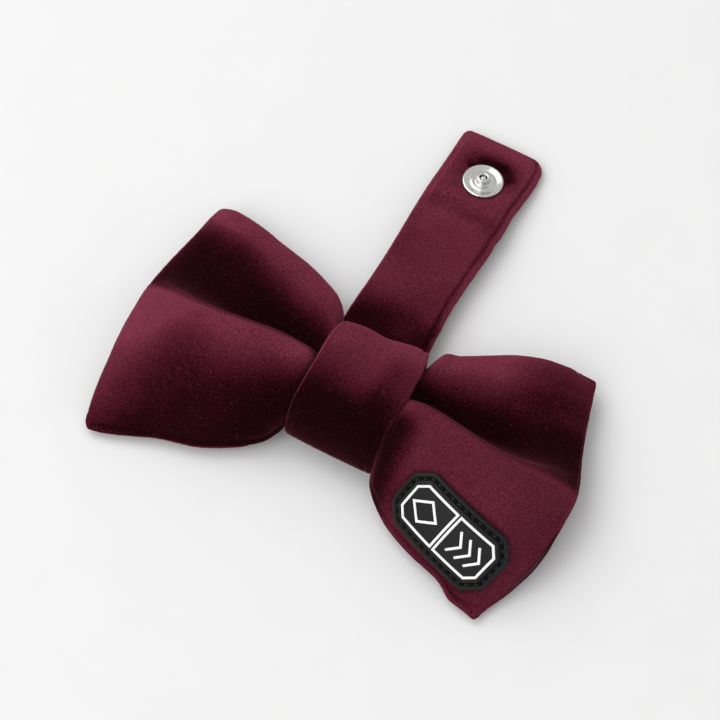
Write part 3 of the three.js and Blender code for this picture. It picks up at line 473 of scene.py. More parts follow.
# ------------------------------------------------------------------ pillow bow
# Sections from the lower seam to the upper seam, keyed by distance from the knot's
# centre. Point 6 is the crest of the lower roll, 9 the bottom of the pleat.
LEFT = {
    12.3: ([-12.8, -12.4, -11.4, -9.4, -6.6, -3.2, 0.6, 3.0, 4.6, 6.6, 8.4, 10.2, 11.8, 13.0, 13.6],
           [9.6, 11.2, 12.8, 14.3, 15.2, 15.7, 15.8, 15.4, 15.0, 14.6, 14.4, 14.0, 13.2, 12.0, 10.6]),
    13.0: ([-16.2, -15.7, -14.0, -11.0, -7.2, -3.2, 0.8, 2.9, 3.9, 5.8, 8.0, 10.8, 13.6, 15.8, 16.7],
           [6.6, 9.6, 13.0, 15.6, 17.2, 17.9, 17.9, 16.8, 14.0, 12.2, 12.2, 13.1, 12.9, 11.6, 9.2]),
    13.9: ([-17.5, -16.9, -14.8, -11.4, -7.4, -3.2, 1.0, 2.9, 3.7, 5.4, 7.8, 11.2, 14.8, 17.4, 18.4],
           [5.6, 9.0, 13.2, 16.2, 18.3, 19.3, 19.3, 17.6, 13.6, 10.8, 10.9, 12.6, 13.1, 11.8, 9.0]),
    15.4: ([-20.2, -19.3, -16.6, -12.2, -7.8, -3.3, 1.2, 3.0, 3.7, 5.5, 8.2, 12.2, 16.4, 19.6, 20.8],
           [5.0, 8.4, 13.0, 16.6, 18.9, 20.0, 20.0, 18.2, 13.4, 9.8, 10.2, 12.6, 13.6, 12.2, 9.0]),
    18.5: ([-23.1, -22.0, -18.8, -13.9, -8.8, -3.5, 1.2, 3.1, 3.8, 5.9, 8.8, 13.4, 18.6, 22.6, 24.0],
           [4.6, 7.8, 12.6, 16.8, 19.3, 20.5, 20.4, 18.4, 13.2, 9.0, 9.5, 12.3, 13.8, 12.2, 8.8]),
    24: ([-26.4, -25.0, -21.2, -16.0, -10.2, -4.2, 0.9, 3.0, 3.8, 6.2, 9.8, 15.0, 21.0, 25.8, 27.2],
         [4.2, 7.2, 12.2, 16.8, 19.8, 21.1, 20.9, 18.8, 13.2, 8.7, 9.1, 11.7, 13.2, 11.1, 7.6]),
    31: ([-29.9, -28.2, -23.8, -17.6, -11.2, -4.8, -0.1, 2.2, 3.3, 6.4, 11.0, 17.2, 24.0, 28.8, 30.3],
         [4.0, 7.0, 12.4, 17.2, 20.3, 21.5, 21.1, 19.0, 13.2, 8.6, 8.6, 10.9, 11.9, 9.6, 6.3]),
    40: ([-32.2, -30.2, -25.4, -19.2, -12.2, -5.4, -1.0, 1.5, 2.9, 6.8, 12.4, 19.4, 26.8, 31.4, 32.8],
         [3.7, 6.8, 12.5, 17.4, 20.4, 21.3, 20.6, 18.4, 13.2, 8.7, 8.4, 10.0, 10.6, 8.5, 5.4]),
    49: ([-35.2, -32.8, -27.3, -20.6, -12.8, -5.4, -0.8, 1.9, 4.0, 8.6, 14.6, 21.8, 29.2, 33.8, 35.1],
         [3.0, 6.2, 12.0, 16.9, 19.6, 20.2, 19.0, 16.6, 12.4, 9.0, 8.5, 9.5, 9.8, 7.8, 4.9]),
    57: ([-37.6, -34.5, -28.0, -20.6, -12.4, -4.8, 0.2, 3.2, 6.0, 11.2, 16.8, 23.6, 30.6, 34.8, 35.9],
         [2.4, 5.3, 10.4, 14.6, 16.8, 16.9, 15.6, 13.2, 10.8, 9.0, 8.6, 9.4, 9.6, 7.7, 4.7]),
    61.5: ([-38.5, -34.9, -28.2, -20.4, -12.2, -4.6, 0.6, 4.0, 7.4, 12.8, 18.2, 24.4, 30.9, 35.0, 36.1],
           [2.1, 4.2, 8.0, 11.2, 13.0, 13.2, 12.5, 11.0, 9.4, 8.3, 8.0, 8.2, 7.8, 6.1, 4.0]),
    63.3: ([-37.0, -34.1, -28.0, -20.4, -12.0, -4.4, 0.8, 4.8, 8.8, 13.8, 18.8, 24.6, 30.8, 34.7, 35.7],
           [2.0, 3.5, 6.4, 8.9, 10.5, 11.0, 10.8, 9.8, 8.7, 7.8, 7.3, 6.9, 6.2, 4.9, 3.6]),
    64: ([-35.4, -33.2, -27.7, -20.4, -12.0, -4.4, 1.0, 5.6, 10.0, 14.6, 19.0, 24.4, 30.2, 33.9, 34.6],
         [1.9, 2.8, 4.6, 6.2, 7.4, 8.2, 8.4, 8.0, 7.3, 6.5, 5.9, 5.1, 4.4, 3.7, 3.4]),
}
LEFT_BOW = [3.4, 2.8, 1.8, 0.9, 0.2, -0.4, -0.6, -0.6, -0.4, -0.1, 0.4, 1.0, 1.6, 2.1, 2.3]
RIGHT = {
    12.0: ([-12.8, -12.4, -11.4, -9.4, -6.6, -3.2, 0.6, 3.0, 4.6, 6.6, 8.4, 10.2, 11.8, 13.0, 13.6],
           [9.6, 11.2, 12.8, 14.3, 15.2, 15.7, 15.8, 15.4, 15.0, 14.6, 14.4, 14.0, 13.2, 12.0, 10.6]),
    12.8: ([-13.6, -13.1, -11.9, -9.8, -6.8, -3.2, 0.6, 2.8, 4.2, 6.2, 8.6, 11.4, 14.2, 16.3, 17.2],
           [8.9, 10.8, 12.8, 14.5, 15.5, 16.0, 16.1, 15.7, 14.7, 13.7, 13.4, 13.5, 12.8, 11.2, 9.0]),
    13.7: ([-16.8, -16.2, -14.3, -11.2, -7.3, -3.2, 0.6, 2.6, 3.7, 5.7, 8.4, 12.0, 15.4, 18.1, 19.2],
           [7.0, 9.5, 12.7, 15.1, 16.6, 17.2, 17.2, 16.4, 13.9, 12.2, 12.6, 13.8, 13.8, 12.2, 9.4]),
    14.2: ([-18.2, -17.5, -15.2, -11.6, -7.5, -3.2, 0.6, 2.6, 3.6, 5.6, 8.4, 12.2, 16.0, 19.0, 20.1],
           [6.5, 9.3, 12.9, 15.6, 17.2, 17.9, 17.9, 16.8, 13.8, 11.8, 12.4, 14.0, 14.3, 12.9, 10.2]),
    15.4: ([-20.2, -19.2, -16.3, -12.2, -7.9, -3.3, 0.8, 2.6, 3.5, 5.6, 8.8, 13.0, 17.2, 20.2, 21.3],
           [6.6, 9.6, 13.2, 16.2, 18.2, 19.2, 19.2, 17.4, 13.4, 10.6, 11.6, 14.0, 15.0, 14.0, 11.2]),
    18.5: ([-23.0, -21.8, -18.4, -13.8, -8.4, -3.5, 0.9, 2.7, 3.6, 6.0, 9.6, 14.2, 18.8, 21.8, 22.8],
           [5.0, 8.0, 12.6, 16.4, 19.0, 20.3, 20.2, 18.2, 13.2, 9.6, 10.7, 13.3, 14.4, 13.1, 10.3]),
    24: ([-26.5, -25.0, -20.8, -15.6, -9.8, -4.2, 0.0, 2.1, 3.2, 6.0, 10.2, 16.0, 21.8, 25.2, 26.4],
         [4.2, 7.4, 12.4, 16.8, 19.8, 21.2, 21.0, 18.8, 13.2, 9.2, 10.1, 12.9, 14.2, 12.6, 9.7]),
    32: ([-30.0, -28.1, -23.4, -17.4, -11.2, -5.4, -1.5, 0.9, 2.3, 5.8, 11.0, 18.4, 25.8, 29.8, 31.0],
         [3.9, 7.0, 12.4, 17.2, 20.4, 22.0, 21.6, 19.2, 13.4, 9.2, 10.0, 13.0, 14.2, 12.4, 9.1]),
    41: ([-32.6, -30.5, -25.5, -18.8, -12.0, -6.4, -2.9, -0.2, 1.8, 6.2, 12.4, 20.4, 28.6, 33.2, 34.7],
         [3.5, 6.8, 12.2, 17.0, 20.2, 21.9, 21.4, 19.0, 13.6, 9.6, 10.2, 12.4, 13.0, 11.0, 7.6]),
    50: ([-36.0, -33.4, -27.7, -20.2, -12.8, -6.0, -1.9, 1.2, 3.8, 8.6, 14.6, 22.0, 29.6, 34.2, 35.7],
         [2.8, 6.0, 11.4, 15.8, 18.8, 20.2, 19.4, 16.8, 13.0, 10.4, 10.4, 11.8, 11.8, 9.6, 6.5]),
    57: ([-36.6, -33.2, -26.6, -19.2, -11.8, -5.0, -0.5, 3.0, 6.2, 10.8, 15.8, 22.0, 28.6, 33.8, 35.8],
         [2.3, 4.8, 9.0, 13.0, 15.8, 17.1, 16.6, 14.4, 12.0, 10.4, 10.2, 10.7, 10.4, 8.6, 6.3]),
    61.5: ([-37.3, -32.8, -25.5, -18.4, -11.2, -4.8, 0.0, 3.8, 7.2, 11.6, 16.0, 21.4, 28.0, 33.4, 35.8],
           [2.1, 3.8, 6.8, 10.0, 12.8, 14.4, 14.2, 12.8, 11.0, 9.9, 9.4, 9.3, 8.8, 7.5, 6.1]),
    63.3: ([-37.6, -32.5, -24.9, -18.0, -11.0, -4.8, 0.1, 4.3, 8.0, 12.0, 15.9, 21.1, 27.7, 33.1, 35.6],
           [2.0, 3.2, 5.4, 8.5, 11.2, 12.9, 13.0, 12.0, 10.7, 9.7, 9.1, 8.6, 7.9, 6.9, 6.1]),
    64: ([-36.6, -31.9, -24.5, -17.8, -11.0, -4.8, 0.2, 4.6, 8.4, 12.0, 15.8, 20.8, 27.1, 32.2, 34.4],
         [2.0, 2.5, 3.8, 6.0, 8.6, 10.2, 10.6, 10.2, 9.4, 8.6, 8.0, 7.4, 6.8, 6.3, 6.0]),
}
RIGHT_BOW = [8.9, 6.9, 3.9, 1.5, 0.5, 0.2, 0.4, 1.5, 3.0, 4.5, 5.9, 7.6, 9.5, 11.0, 11.7]

NVF = 150


def wing_sheets(table, bow, side, ds):
    """Front and back surfaces of one wing at distances ds: arrays (len(ds), NVF, 3)."""
    keys = np.array(sorted(table))
    Y = np.array([table[k][0] for k in keys])
    Z = np.array([table[k][1] for k in keys])
    y, z = hermite(keys, Y, ds), hermite(keys, Z, ds)
    w = smooth(ds, 40, 64)
    B = np.asarray(bow)
    front = np.zeros((len(ds), NVF, 3))
    back = np.zeros((len(ds), NVF, 3))
    edge_seam = hermite(keys, Z, [64.0])[0]
    for i, d in enumerate(ds):
        x = side * (d - B * w[i])
        front[i] = spline(np.stack([x, y[i], z[i]], 1), NVF)
        # Seam height: follows the section's two ends; at the outer edge it is the edge itself.
        yb, yt, zb, zt = y[i][0], y[i][-1], z[i][0], z[i][-1]
        out = max(0.0, 1 - (d / 64.0) ** 9) ** 0.62
        neck = float(smooth(d, 12.2, 25))
        low = 8.9 * (1 - neck) + 0.25 * neck
        t = np.array([0.0, 0.012, 0.05, 0.13, 0.27, 0.45, 0.62, 0.78, 0.9, 0.965, 0.992, 1.0])
        yy = yb + (yt - yb) * t
        lipb, lipt = 0.9 * neck * out, 0.7 * neck * out
        zz = np.array([
            zb, zb - 1.15, 0.5 * zb + 0.5 * low - 0.6, low + 0.35, low + 0.05, low + 0.25, low + 0.25, low + 0.2, low + 0.7,
            0.45 * zt + 0.55 * low, zt - 1.5, zt,
        ])
        zz = np.maximum(zz, np.minimum(low, min(zb, zt) - 0.5))
        # A soft pleat on the back as well, deep at the knot and gone half way out.
        pleat = 3.2 * np.exp(-((yy - 3.5) / (2.6 + 0.12 * d)) ** 2) * (1 - float(smooth(d, 16, 44))) * neck
        zz = zz + pleat
        yy = yy + np.array([0, -lipb, -lipb * 0.8, 0, 0, 0, 0, 0, 0, lipt * 0.6, lipt, 0])
        xb = np.interp(t, np.linspace(0, 1, 15), x)
        curve = spline(np.stack([xb, yy, zz], 1), NVF)
        seam = np.stack([x, y[i], z[i]], 1)
        if d > 63.999:
            back[i] = front[i]
        else:
            # Close in to the edge seam: the belly rises to meet it.
            es = np.interp(np.linspace(0, 1, NVF), np.linspace(0, 1, 15), edge_seam)
            blend = (1 - out)
            curve[:, 2] = curve[:, 2] * (1 - blend) + (es - 0.05) * blend
            back[i] = curve
            back[i][0], back[i][-1] = front[i][0], front[i][-1]
    return front, back


d_left = np.concatenate([64 - 24 * (1 - np.cos(np.linspace(0, np.pi / 2, 46))) ** 1.0, np.linspace(39.4, 12.3, 48)])
d_right = np.concatenate([64 - 24 * (1 - np.cos(np.linspace(0, np.pi / 2, 46))) ** 1.0, np.linspace(39.4, 12.0, 50)])[::-1]
fl, bl = wing_sheets(LEFT, LEFT_BOW, -1, d_left)
fr, br = wing_sheets(RIGHT, RIGHT_BOW, 1, d_right)
mid = [(1 - t, t) for t in np.linspace(0, 1, 14)[1:-1]]
fm = np.array([a * fl[-1] + b * fr[0] for a, b in mid])
bm_ = np.array([a * bl[-1] + b * br[0] for a, b in mid])
FRONT = np.concatenate([fl, fm, fr])
BACKS = np.concatenate([bl, bm_, br])


def gathers(G, strength=1.0):
    """Small soft folds that run out from the knot's edges."""
    x, y = G[..., 0], G[..., 1]
    side = np.where(x < 0, -(x + 12.3), x - 13.3)
    ang = np.arctan2(y - 1.0, np.abs(x) - 4.0)
    fade = smooth(side, 0.0, 1.6) * np.exp(-np.clip(side, 0, None) / 9.0)
    f = 0.24 * np.sin(ang * 13 + 0.6 + 0.9 * np.sin(ang * 5)) + 0.08 * np.sin(ang * 27 + 1.1)
    G[..., 2] += strength * fade * f
    return G


def soft_dents(G, amount):
    p = G.reshape(-1, 3)
    n = noise3(p * np.array([1, 1, 0.4]), 17.0, 3) * 0.75 + noise3(p * np.array([1, 1, 0.4]), 8.5, 5) * 0.35
    G[..., 2] += amount * n.reshape(G.shape[:-1])
    return G


edge_fade = np.ones(FRONT.shape[:2])
jj = np.arange(NVF)
edge_v = smooth(np.minimum(jj, NVF - 1 - jj), 0, 14)
ii = np.arange(FRONT.shape[0])
edge_u = smooth(np.minimum(ii, FRONT.shape[0] - 1 - ii), 0, 14)
fade = edge_v[None, :] * edge_u[:, None]
inside = (np.abs(FRONT[..., 0] - 0.5) > 13.6)
F2 = soft_dents(gathers(FRONT.copy()), 0.55)
FRONT[..., 2] += (F2[..., 2] - FRONT[..., 2]) * fade * inside
B2 = soft_dents(BACKS.copy(), 0.25)
inside_b = (np.abs(BACKS[..., 0] - 0.5) > 13.6)
BACKS[..., 2] = np.maximum(BACKS[..., 2] + (B2[..., 2] - BACKS[..., 2]) * fade * inside_b, 0.12)


def pillow_mesh(name, F, B, material):
    nu, nv = F.shape[:2]
    verts = [*F.reshape(-1, 3)]
    idb = -np.ones((nu, nv), int)
    idf = np.arange(nu * nv).reshape(nu, nv)
    for i in range(nu):
        for j in range(nv):
            if i in (0, nu - 1) or j in (0, nv - 1):
                idb[i, j] = idf[i, j]
            else:
                idb[i, j] = len(verts)
                verts.append(B[i, j])
    faces = []
    for i in range(nu - 1):
        for j in range(nv - 1):
            faces.append((idf[i, j], idf[i + 1, j], idf[i + 1, j + 1], idf[i, j + 1]))
            faces.append((idb[i, j], idb[i, j + 1], idb[i + 1, j + 1], idb[i + 1, j]))
    return make_mesh(name, np.array(verts), faces, material)


pillow = pillow_mesh("bow_pillow", FRONT, BACKS, VELVET)


def near_line(pts, line):
    """Distance from each point to a densely sampled line, and the nearest sample."""
    from mathutils.kdtree import KDTree

    kd = KDTree(len(line))
    for k, q in enumerate(line):
        kd.insert(q, k)
    kd.balance()
    hit = [kd.find(q) for q in pts]
    return np.array([h[2] for h in hit]), np.array([h[1] for h in hit])


def densify(line, step=0.25):
    out = []
    for a, b in zip(line[:-1], line[1:]):
        k = max(1, int(np.linalg.norm(b - a) / step))
        for t in np.linspace(0, 1, k, endpoint=False):
            out.append(a + (b - a) * t)
    return np.array(out)


# The seam: each panel rolls over a millimetre inside it, and the turned edges stand out as a low welt.
LOW_SEAM, TOP_SEAM = densify(FRONT[:, 0]), densify(FRONT[:, -1])
END_L, END_R = densify(FRONT[0, :]), densify(FRONT[-1, :])


def finish_seams(ob):
    v, n = get_mm(ob), normals_of(ob)
    upper = n[:, 2] > -0.25
    for line, crease, at, lip in ((LOW_SEAM, 0.62, 1.55, 0.22), (TOP_SEAM, 0.22, 1.2, 0.10), (END_L, 0.10, 1.2, 0.06), (END_R, 0.08, 1.3, 0.05)):
        d, k = near_line(v, line)
        x = line[k][:, 0]
        wave = 0.65 + 0.35 * noise3(np.stack([x, k * 0.02, x * 0], 1), 7.0, 31)
        strong = 1.0
        if line is LOW_SEAM:
            strong = 0.35 + 0.65 * np.maximum(smooth(-x, 40, 56), smooth(x, 18, 30))
        away = np.minimum(k, len(line) - 1 - k) * 0.25
        strong = strong * smooth(away, 0.5, 6.0)
        groove = crease * strong * wave * np.exp(-(((d - at) / 0.55) ** 2))
        swell = lip * np.exp(-((d / 0.8) ** 2))
        v = v + n * ((swell - groove) * np.where(upper, 1.0, 0.35))[:, None]
        v_now = v
    set_mm(ob, v_now)


finish_seams(pillow)


def pull(ob, x, y, r, depth, stretch=(1, 1), angle=0.0):
    """A small dent drawn in by the stitching."""
    v, n = get_mm(ob), normals_of(ob)
    c, s_ = math.cos(angle), math.sin(angle)
    dx, dy = v[:, 0] - x, v[:, 1] - y
    a_, b_ = (dx * c + dy * s_) / stretch[0], (-dx * s_ + dy * c) / stretch[1]
    w = np.exp(-((a_**2 + b_**2) / r**2)) * (n[:, 2] > 0.1)
    set_mm(ob, v - n * (depth * w)[:, None])


pull(pillow, -52.5, -29.5, 2.6, 0.7, (1.5, 0.8), 0.5)
pull(pillow, -51.0, -33.0, 2.4, 0.35, (2.8, 0.6), 0.12)
pull(pillow, -18.5, -17.5, 3.0, 0.6, (0.7, 2.0), -0.5)


def inner_filling(name, F, B, gap=1.55):
    """The wadding: the pillow's own shape, drawn in from both panels."""
    i0, j0, si, sj = 14, 12, 3, 4
    f, g = F[i0:-i0:si, j0:-j0:sj].copy(), B[i0:-i0:si, j0:-j0:sj].copy()
    half = (f - g) / 2
    h = np.linalg.norm(half, axis=-1, keepdims=True)
    k = np.clip(1 - gap * 1.6 / np.maximum(h, 1e-6), 0.10, 1)
    # Walls near the waist are steep, so it keeps well clear of them.
    mid_ = (f + g) / 2
    slope = np.abs(np.gradient(f[..., 2], axis=1)) / np.maximum(np.abs(np.gradient(f[..., 1], axis=1)), 0.05)
    k = np.clip(k[..., 0] - 0.10 * np.clip(slope - 0.8, 0, 3), 0.06, 1)
    for _ in range(3):
        k[:, 1:-1] = np.minimum(k[:, 1:-1], (k[:, :-2] + k[:, 2:]) / 2 + 0.02)
    f, g = mid_ + half * k[..., None], mid_ - half * k[..., None]
    nu, nv = f.shape[:2]
    verts = np.concatenate([f.reshape(-1, 3), g.reshape(-1, 3)])
    idf = np.arange(nu * nv).reshape(nu, nv)
    idb = idf + nu * nv
    faces = []
    for i in range(nu - 1):
        for j in range(nv - 1):
            faces.append((idf[i, j], idf[i + 1, j], idf[i + 1, j + 1], idf[i, j + 1]))
            faces.append((idb[i, j], idb[i, j + 1], idb[i + 1, j + 1], idb[i + 1, j]))
    rim = [(i, 0) for i in range(nu)] + [(nu - 1, j) for j in range(1, nv)] + [(i, nv - 1) for i in range(nu - 2, -1, -1)] + [(0, j) for j in range(nv - 2, 0, -1)]
    for q, (i, j) in enumerate(rim):
        i2, j2 = rim[(q + 1) % len(rim)]
        faces.append((idf[i, j], idf[i2, j2], idb[i2, j2], idb[i, j]))
    return make_mesh(name, verts, faces, WADDING)


def thin_tube(name, pts, r, material, n=8, closed=True):
    p = np.asarray(pts, float)
    m = len(p)
    t = (np.roll(p, -1, 0) - np.roll(p, 1, 0)) if closed else np.gradient(p, axis=0)
    t /= np.linalg.norm(t, axis=1)[:, None]
    a_ = np.cross(t, np.array([0, 0, 1.0]))
    a_ /= np.linalg.norm(a_, axis=1)[:, None]
    b_ = np.cross(a_, t)
    ang = np.linspace(0, 2 * np.pi, n, endpoint=False)
    v = p[:, None] + r * (np.cos(ang)[None, :, None] * a_[:, None] + np.sin(ang)[None, :, None] * b_[:, None])
    f = ring_faces(m, n, closed_rings=closed)
    v = v.reshape(-1, 3)
    if not closed:
        f += [tuple(range(n)), tuple((m - 1) * n + k for k in reversed(range(n)))]
    return make_mesh(name, v, f, material)


filling = inner_filling("wadding_fill", FRONT, BACKS)
# The seam's thread runs a millimetre and a half inside the edge, midway between the panels.
M = (FRONT + BACKS) / 2
i1, j1 = 4, 6
loop = np.concatenate([M[i1:-i1:2, j1], M[-i1 - 1, j1:-j1:3], M[-i1 - 1:i1:-2, -j1 - 1], M[i1, -j1 - 1:j1:-3]])
seam_stitches = thin_tube("seam_stitches", loop, 0.16, THREAD_RED)

# ------------------------------------------------------------------ knot and strap tube
BAND_T = 2.4
KX0, KX1 = -12.3, 13.3
SX0, SX1 = -15.3, 9.1
FOLD = [(18.5, 3.9)]
LENGTHS, SLOPES = [13.2, 28.25, 6.75, 25.7], [6, -0.5, -6, -7]
for l_, s_ in zip(LENGTHS, SLOPES):
    y_, z_ = FOLD[-1]
    FOLD.append((y_ + l_ * math.cos(math.radians(s_)), z_ + l_ * math.sin(math.radians(s_))))


def tube_section(n_side=10, n_top=44, crown=0.22, seam_in=1.35, seam_depth=0.28):
    """Points (across 0..1, edge roll in mm, up in mm) along the top of the flat velvet tube only; no closed section is
    built.
    """
    r = BAND_T / 2
    pts = []
    for k in range(n_top + 1):          # top, left to right
        u = k / n_top
        pts.append((u, 0.0, 1))
    return pts


def flat_tube(x0, x1, t, top_crown=0.0, bottom_crown=0.0, n_top=56, n_arc=10, groove=0.0, groove_at=1.35):
    """Section points (across, up), anticlockwise, with rounded edges. A groove runs near the right edge."""
    r = t / 2
    pts = []
    for k in range(n_arc + 1):
        a = -math.pi / 2 + math.pi * k / n_arc
        pts.append((x1 - r + r * 1.0 * math.cos(a), r * math.sin(a)))
    for k in range(1, n_top):
        u = k / n_top
        x = x1 - r + (x0 - x1 + 2 * r) * u
        z = r + top_crown * (1 - abs(2 * u - 1) ** 3.2)
        z -= groove * math.exp(-(((x1 - x) - groove_at) / 0.32) ** 2)
        pts.append((x, z))
    for k in range(n_arc + 1):
        a = math.pi / 2 + math.pi * k / n_arc
        pts.append((x0 + r + r * math.cos(a), r * math.sin(a)))
    for k in range(1, n_top):
        u = k / n_top
        x = x0 + r + (x1 - x0 - 2 * r) * u
        pts.append((x, -r - bottom_crown * (1 - abs(2 * u - 1) ** 3.2)))
    return np.array(pts)


def sweep_tube(name, sections, centres, tangents, material, cap=True):
    """Sections (n, m, 2) placed along a path in the YZ plane."""
    rings = []
    for sec, (y, z), (ty, tz) in zip(sections, centres, tangents):
        rings.append(np.stack([sec[:, 0], y - tz * sec[:, 1], z + ty * sec[:, 1]], 1))
    v = np.concatenate(rings)
    m = len(sections[0])
    f = ring_faces(len(rings), m)
    if cap:
        for base in (0, (len(rings) - 1) * m):
            c = len(v)
            v = np.vstack([v, v[base:base + m].mean(0)])
            for k in range(m):
                f.append((base + k, base + (k + 1) % m, c))
    return make_mesh(name, v, f, material)


def path_tangents(p):
    t = np.gradient(p, axis=0)
    return t / np.linalg.norm(t, axis=1)[:, None]


WRAP = [
    (6.4, 6.6), (10.2, 6.6), (13.4, 6.65), (15.6, 7.6), (16.8, 9.7), (16.5, 12.2), (14.6, 14.6), (11.4, 16.3), (7.4, 17.4),
    (3, 18.0), (-1.6, 18.15), (-6, 17.8), (-9.8, 16.8), (-12.8, 14.6), (-14.8, 11.6), (-15.7, 8.4), (-15.0, 5.7), (-13.0, 4.2),
    (-10.2, 3.9), (-7, 3.9), (-3, 3.9), (1, 3.9), (5, 3.9), (9, 3.9), (13.0, 3.9),
]
SPLIT_0 = 13.0
wrap = spline(WRAP, 170)
wt = path_tangents(wrap)
share_back = np.zeros(len(wrap))
back_run = (np.arange(len(wrap)) > 110) & (wrap[:, 1] < 6.0)
share_back[back_run] = np.clip((wrap[back_run, 0] + 12) / (18.5 + 12), 0, 1)


SPLIT_S = None
back_run = (np.arange(len(wrap)) > 110) & (wrap[:, 1] < 6.0)
front_run = wrap[:, 1] > 7.0
outside_y = wrap[:, 0]
# The band's right edge bows out over the crest and draws in at the top.
right_edge = np.interp(outside_y, [-16, -13, -6, 2, 9, 14, 17], [13.0, 13.7, 14.1, 14.2, 13.6, 12.6, 11.6])
left_edge = np.interp(outside_y, [-16, -10, 0, 10, 16], [-12.1, -12.2, -12.3, -12.9, -12.6])
w_front = smooth(wrap[:, 1], 5.0, 8.5)
w_front = np.where(np.arange(len(wrap)) < 20, 0.0, w_front)
k0 = KX0 + (left_edge - KX0) * w_front
k1 = KX1 + (right_edge - KX1) * w_front


def band_section(i):
    """The knot's section, whose edges move to the strap's as the band crosses the back."""
    sh = share_back[i]
    x0, x1 = k0[i] + (SX0 - k0[i]) * sh, k1[i] + (SX1 - k1[i]) * sh
    sec = flat_tube(x0, x1, BAND_T, 0.25 * sh, 0.42 * w_front[i], n_top=64)
    # The outside of the wrap is the section's lower side, and its seam shows as a groove by the right edge.
    low = sec[:, 1] < 0
    g = 0.42 * np.exp(-(((x1 - sec[:, 0]) - 1.75) / 0.42) ** 2) + 0.14 * np.exp(-(((sec[:, 0] - x0) - 1.6) / 0.5) ** 2)
    sec[:, 1] += np.where(low, g, 0) * w_front[i]
    return sec


knot = sweep_tube("knot_wrap", [band_section(i) for i in range(len(wrap))], wrap, wt, VELVET)
v = get_mm(knot)
# Its top edge isn't square to the bow: the right half stands a millimetre further up the strap.
lift = smooth(v[:, 2], 8.0, 14.0) * smooth(v[:, 1], 6.0, 16.0)
v[:, 1] += lift * (1.5 * smooth(v[:, 0], 0, 12) - 0.5 * (1 - smooth(v[:, 0], -12, -4)) - 0.7 * np.exp(-((v[:, 0] + 1) / 4.0) ** 2))
v += normals_of(knot) * (0.16 * noise3(v, 6.5, 41) * smooth(v[:, 2], 6, 9))[:, None]
set_mm(knot, v)


# Strap path: straight along each length, rounded at the fold lines.
def strap_path(s):
    """Centre and tangent of the strap at distance s from the first fold line."""
    starts = np.concatenate([[0], np.cumsum(LENGTHS)])
    half = [3.0, 3.2, 2.2, 2.2]
    slopes = [0.0] + SLOPES
    out, tan = [], []
    for q in np.atleast_1d(s):
        done = False
        for k in range(4):
            h = half[k]
            if abs(q - starts[k]) < h:
                a0, a1 = math.radians(slopes[k]), math.radians(slopes[k + 1])
                qs = np.linspace(starts[k] - h, q, 24)
                an = a0 + (a1 - a0) * smooth(qs, starts[k] - h, starts[k] + h)
                dq = np.diff(qs)
                y = FOLD[k][0] - h * math.cos(a0) + float(((np.cos(an[1:]) + np.cos(an[:-1])) / 2 * dq).sum())
                z = FOLD[k][1] - h * math.sin(a0) + float(((np.sin(an[1:]) + np.sin(an[:-1])) / 2 * dq).sum())
                out.append((y, z))
                tan.append((math.cos(an[-1]), math.sin(an[-1])))
                done = True
                break
        if not done:
            k = int(np.clip(np.searchsorted(starts, q, side="right") - 1, -1, 3))
            a = math.radians(slopes[k + 1])
            y0, z0 = FOLD[max(k, 0)]
            dq = q - starts[max(k, 0)]
            out.append((y0 + dq * math.cos(a), z0 + dq * math.sin(a)))
            tan.append((math.cos(a), math.sin(a)))
    return np.array(out), np.array(tan)


S0 = SPLIT_0 - 18.5
S_END = sum(LENGTHS)
CUTS = [S0, 6.6, 13.2 + 14.1, 13.2 + 28.25 + 3.375, S_END]
STUD = (-3.3, 13.2 + 28.25 + 6.75 + 10.25)
TIP_RL, TIP_RR = 2.3, 5.2     # the tip's left and right corners


def arc_in(e, r):
    """How far a rounded corner of radius r draws in, e mm past where it starts."""
    e = np.clip(e, 0, r)
    return r - math.sqrt(max(r * r - e * e, 0.0))


def strap_ring(q, y):
    """One section of the strap at distance q along it."""
    share = float(np.clip((y + 12) / (18.5 + 12), 0, 1))
    x0, x1 = KX0 + (SX0 - KX0) * share, KX1 + (SX1 - KX1) * share
    on = float(smooth(q, -4.0, 4.0))
    # The sewn edge wanders a little, and the turned edge is straighter.
    one = np.array([[q, 0.0, 0.0]])
    x1 = x1 + on * (0.28 * float(noise3(one, 9.0, 51)[0]) + 0.12 * float(noise3(one, 3.0, 52)[0]))
    x0 = x0 + on * 0.16 * float(noise3(one, 12.0, 53)[0]) - 0.85 * float(smooth(q, 30, 62)) - on * 0.45 * float(1 - smooth(q, 6, 16))
    x1 = x1 - on * 0.5 * math.exp(-(((q - 22) / 14.0) ** 2))
    x0 = x0 + arc_in(q - (S_END - TIP_RL), TIP_RL)
    x1 = x1 - arc_in(q - (S_END - TIP_RR), TIP_RR)
    sec = flat_tube(x0, x1, BAND_T, 0.25, 0.0, n_top=64)
    k = max(0.0, (q - (S_END - 1.2)) / 1.2)
    sec[:, 1] *= max(math.sqrt(max(1 - k * k, 0.0)), 0.02)
    return sec


S_ALL = np.concatenate([
    np.linspace(CUTS[0], CUTS[1], 30)[:-1], np.linspace(CUTS[1], CUTS[2], 44)[:-1], np.linspace(CUTS[2], CUTS[3], 40)[:-1],
    np.linspace(CUTS[3], S_END - 5.2, 44)[:-1], S_END - 5.2 + 5.2 * np.sin(np.linspace(0, math.pi / 2, 26)),
])
c_all, t_all = strap_path(S_ALL)
rings = []
for q, (y, z), (ty, tz) in zip(S_ALL, c_all, t_all):
    sec = strap_ring(q, y)
    rings.append(np.stack([sec[:, 0], y - tz * sec[:, 1], z + ty * sec[:, 1]], 1))
RINGS = np.array(rings)
N_SEC = RINGS.shape[1]

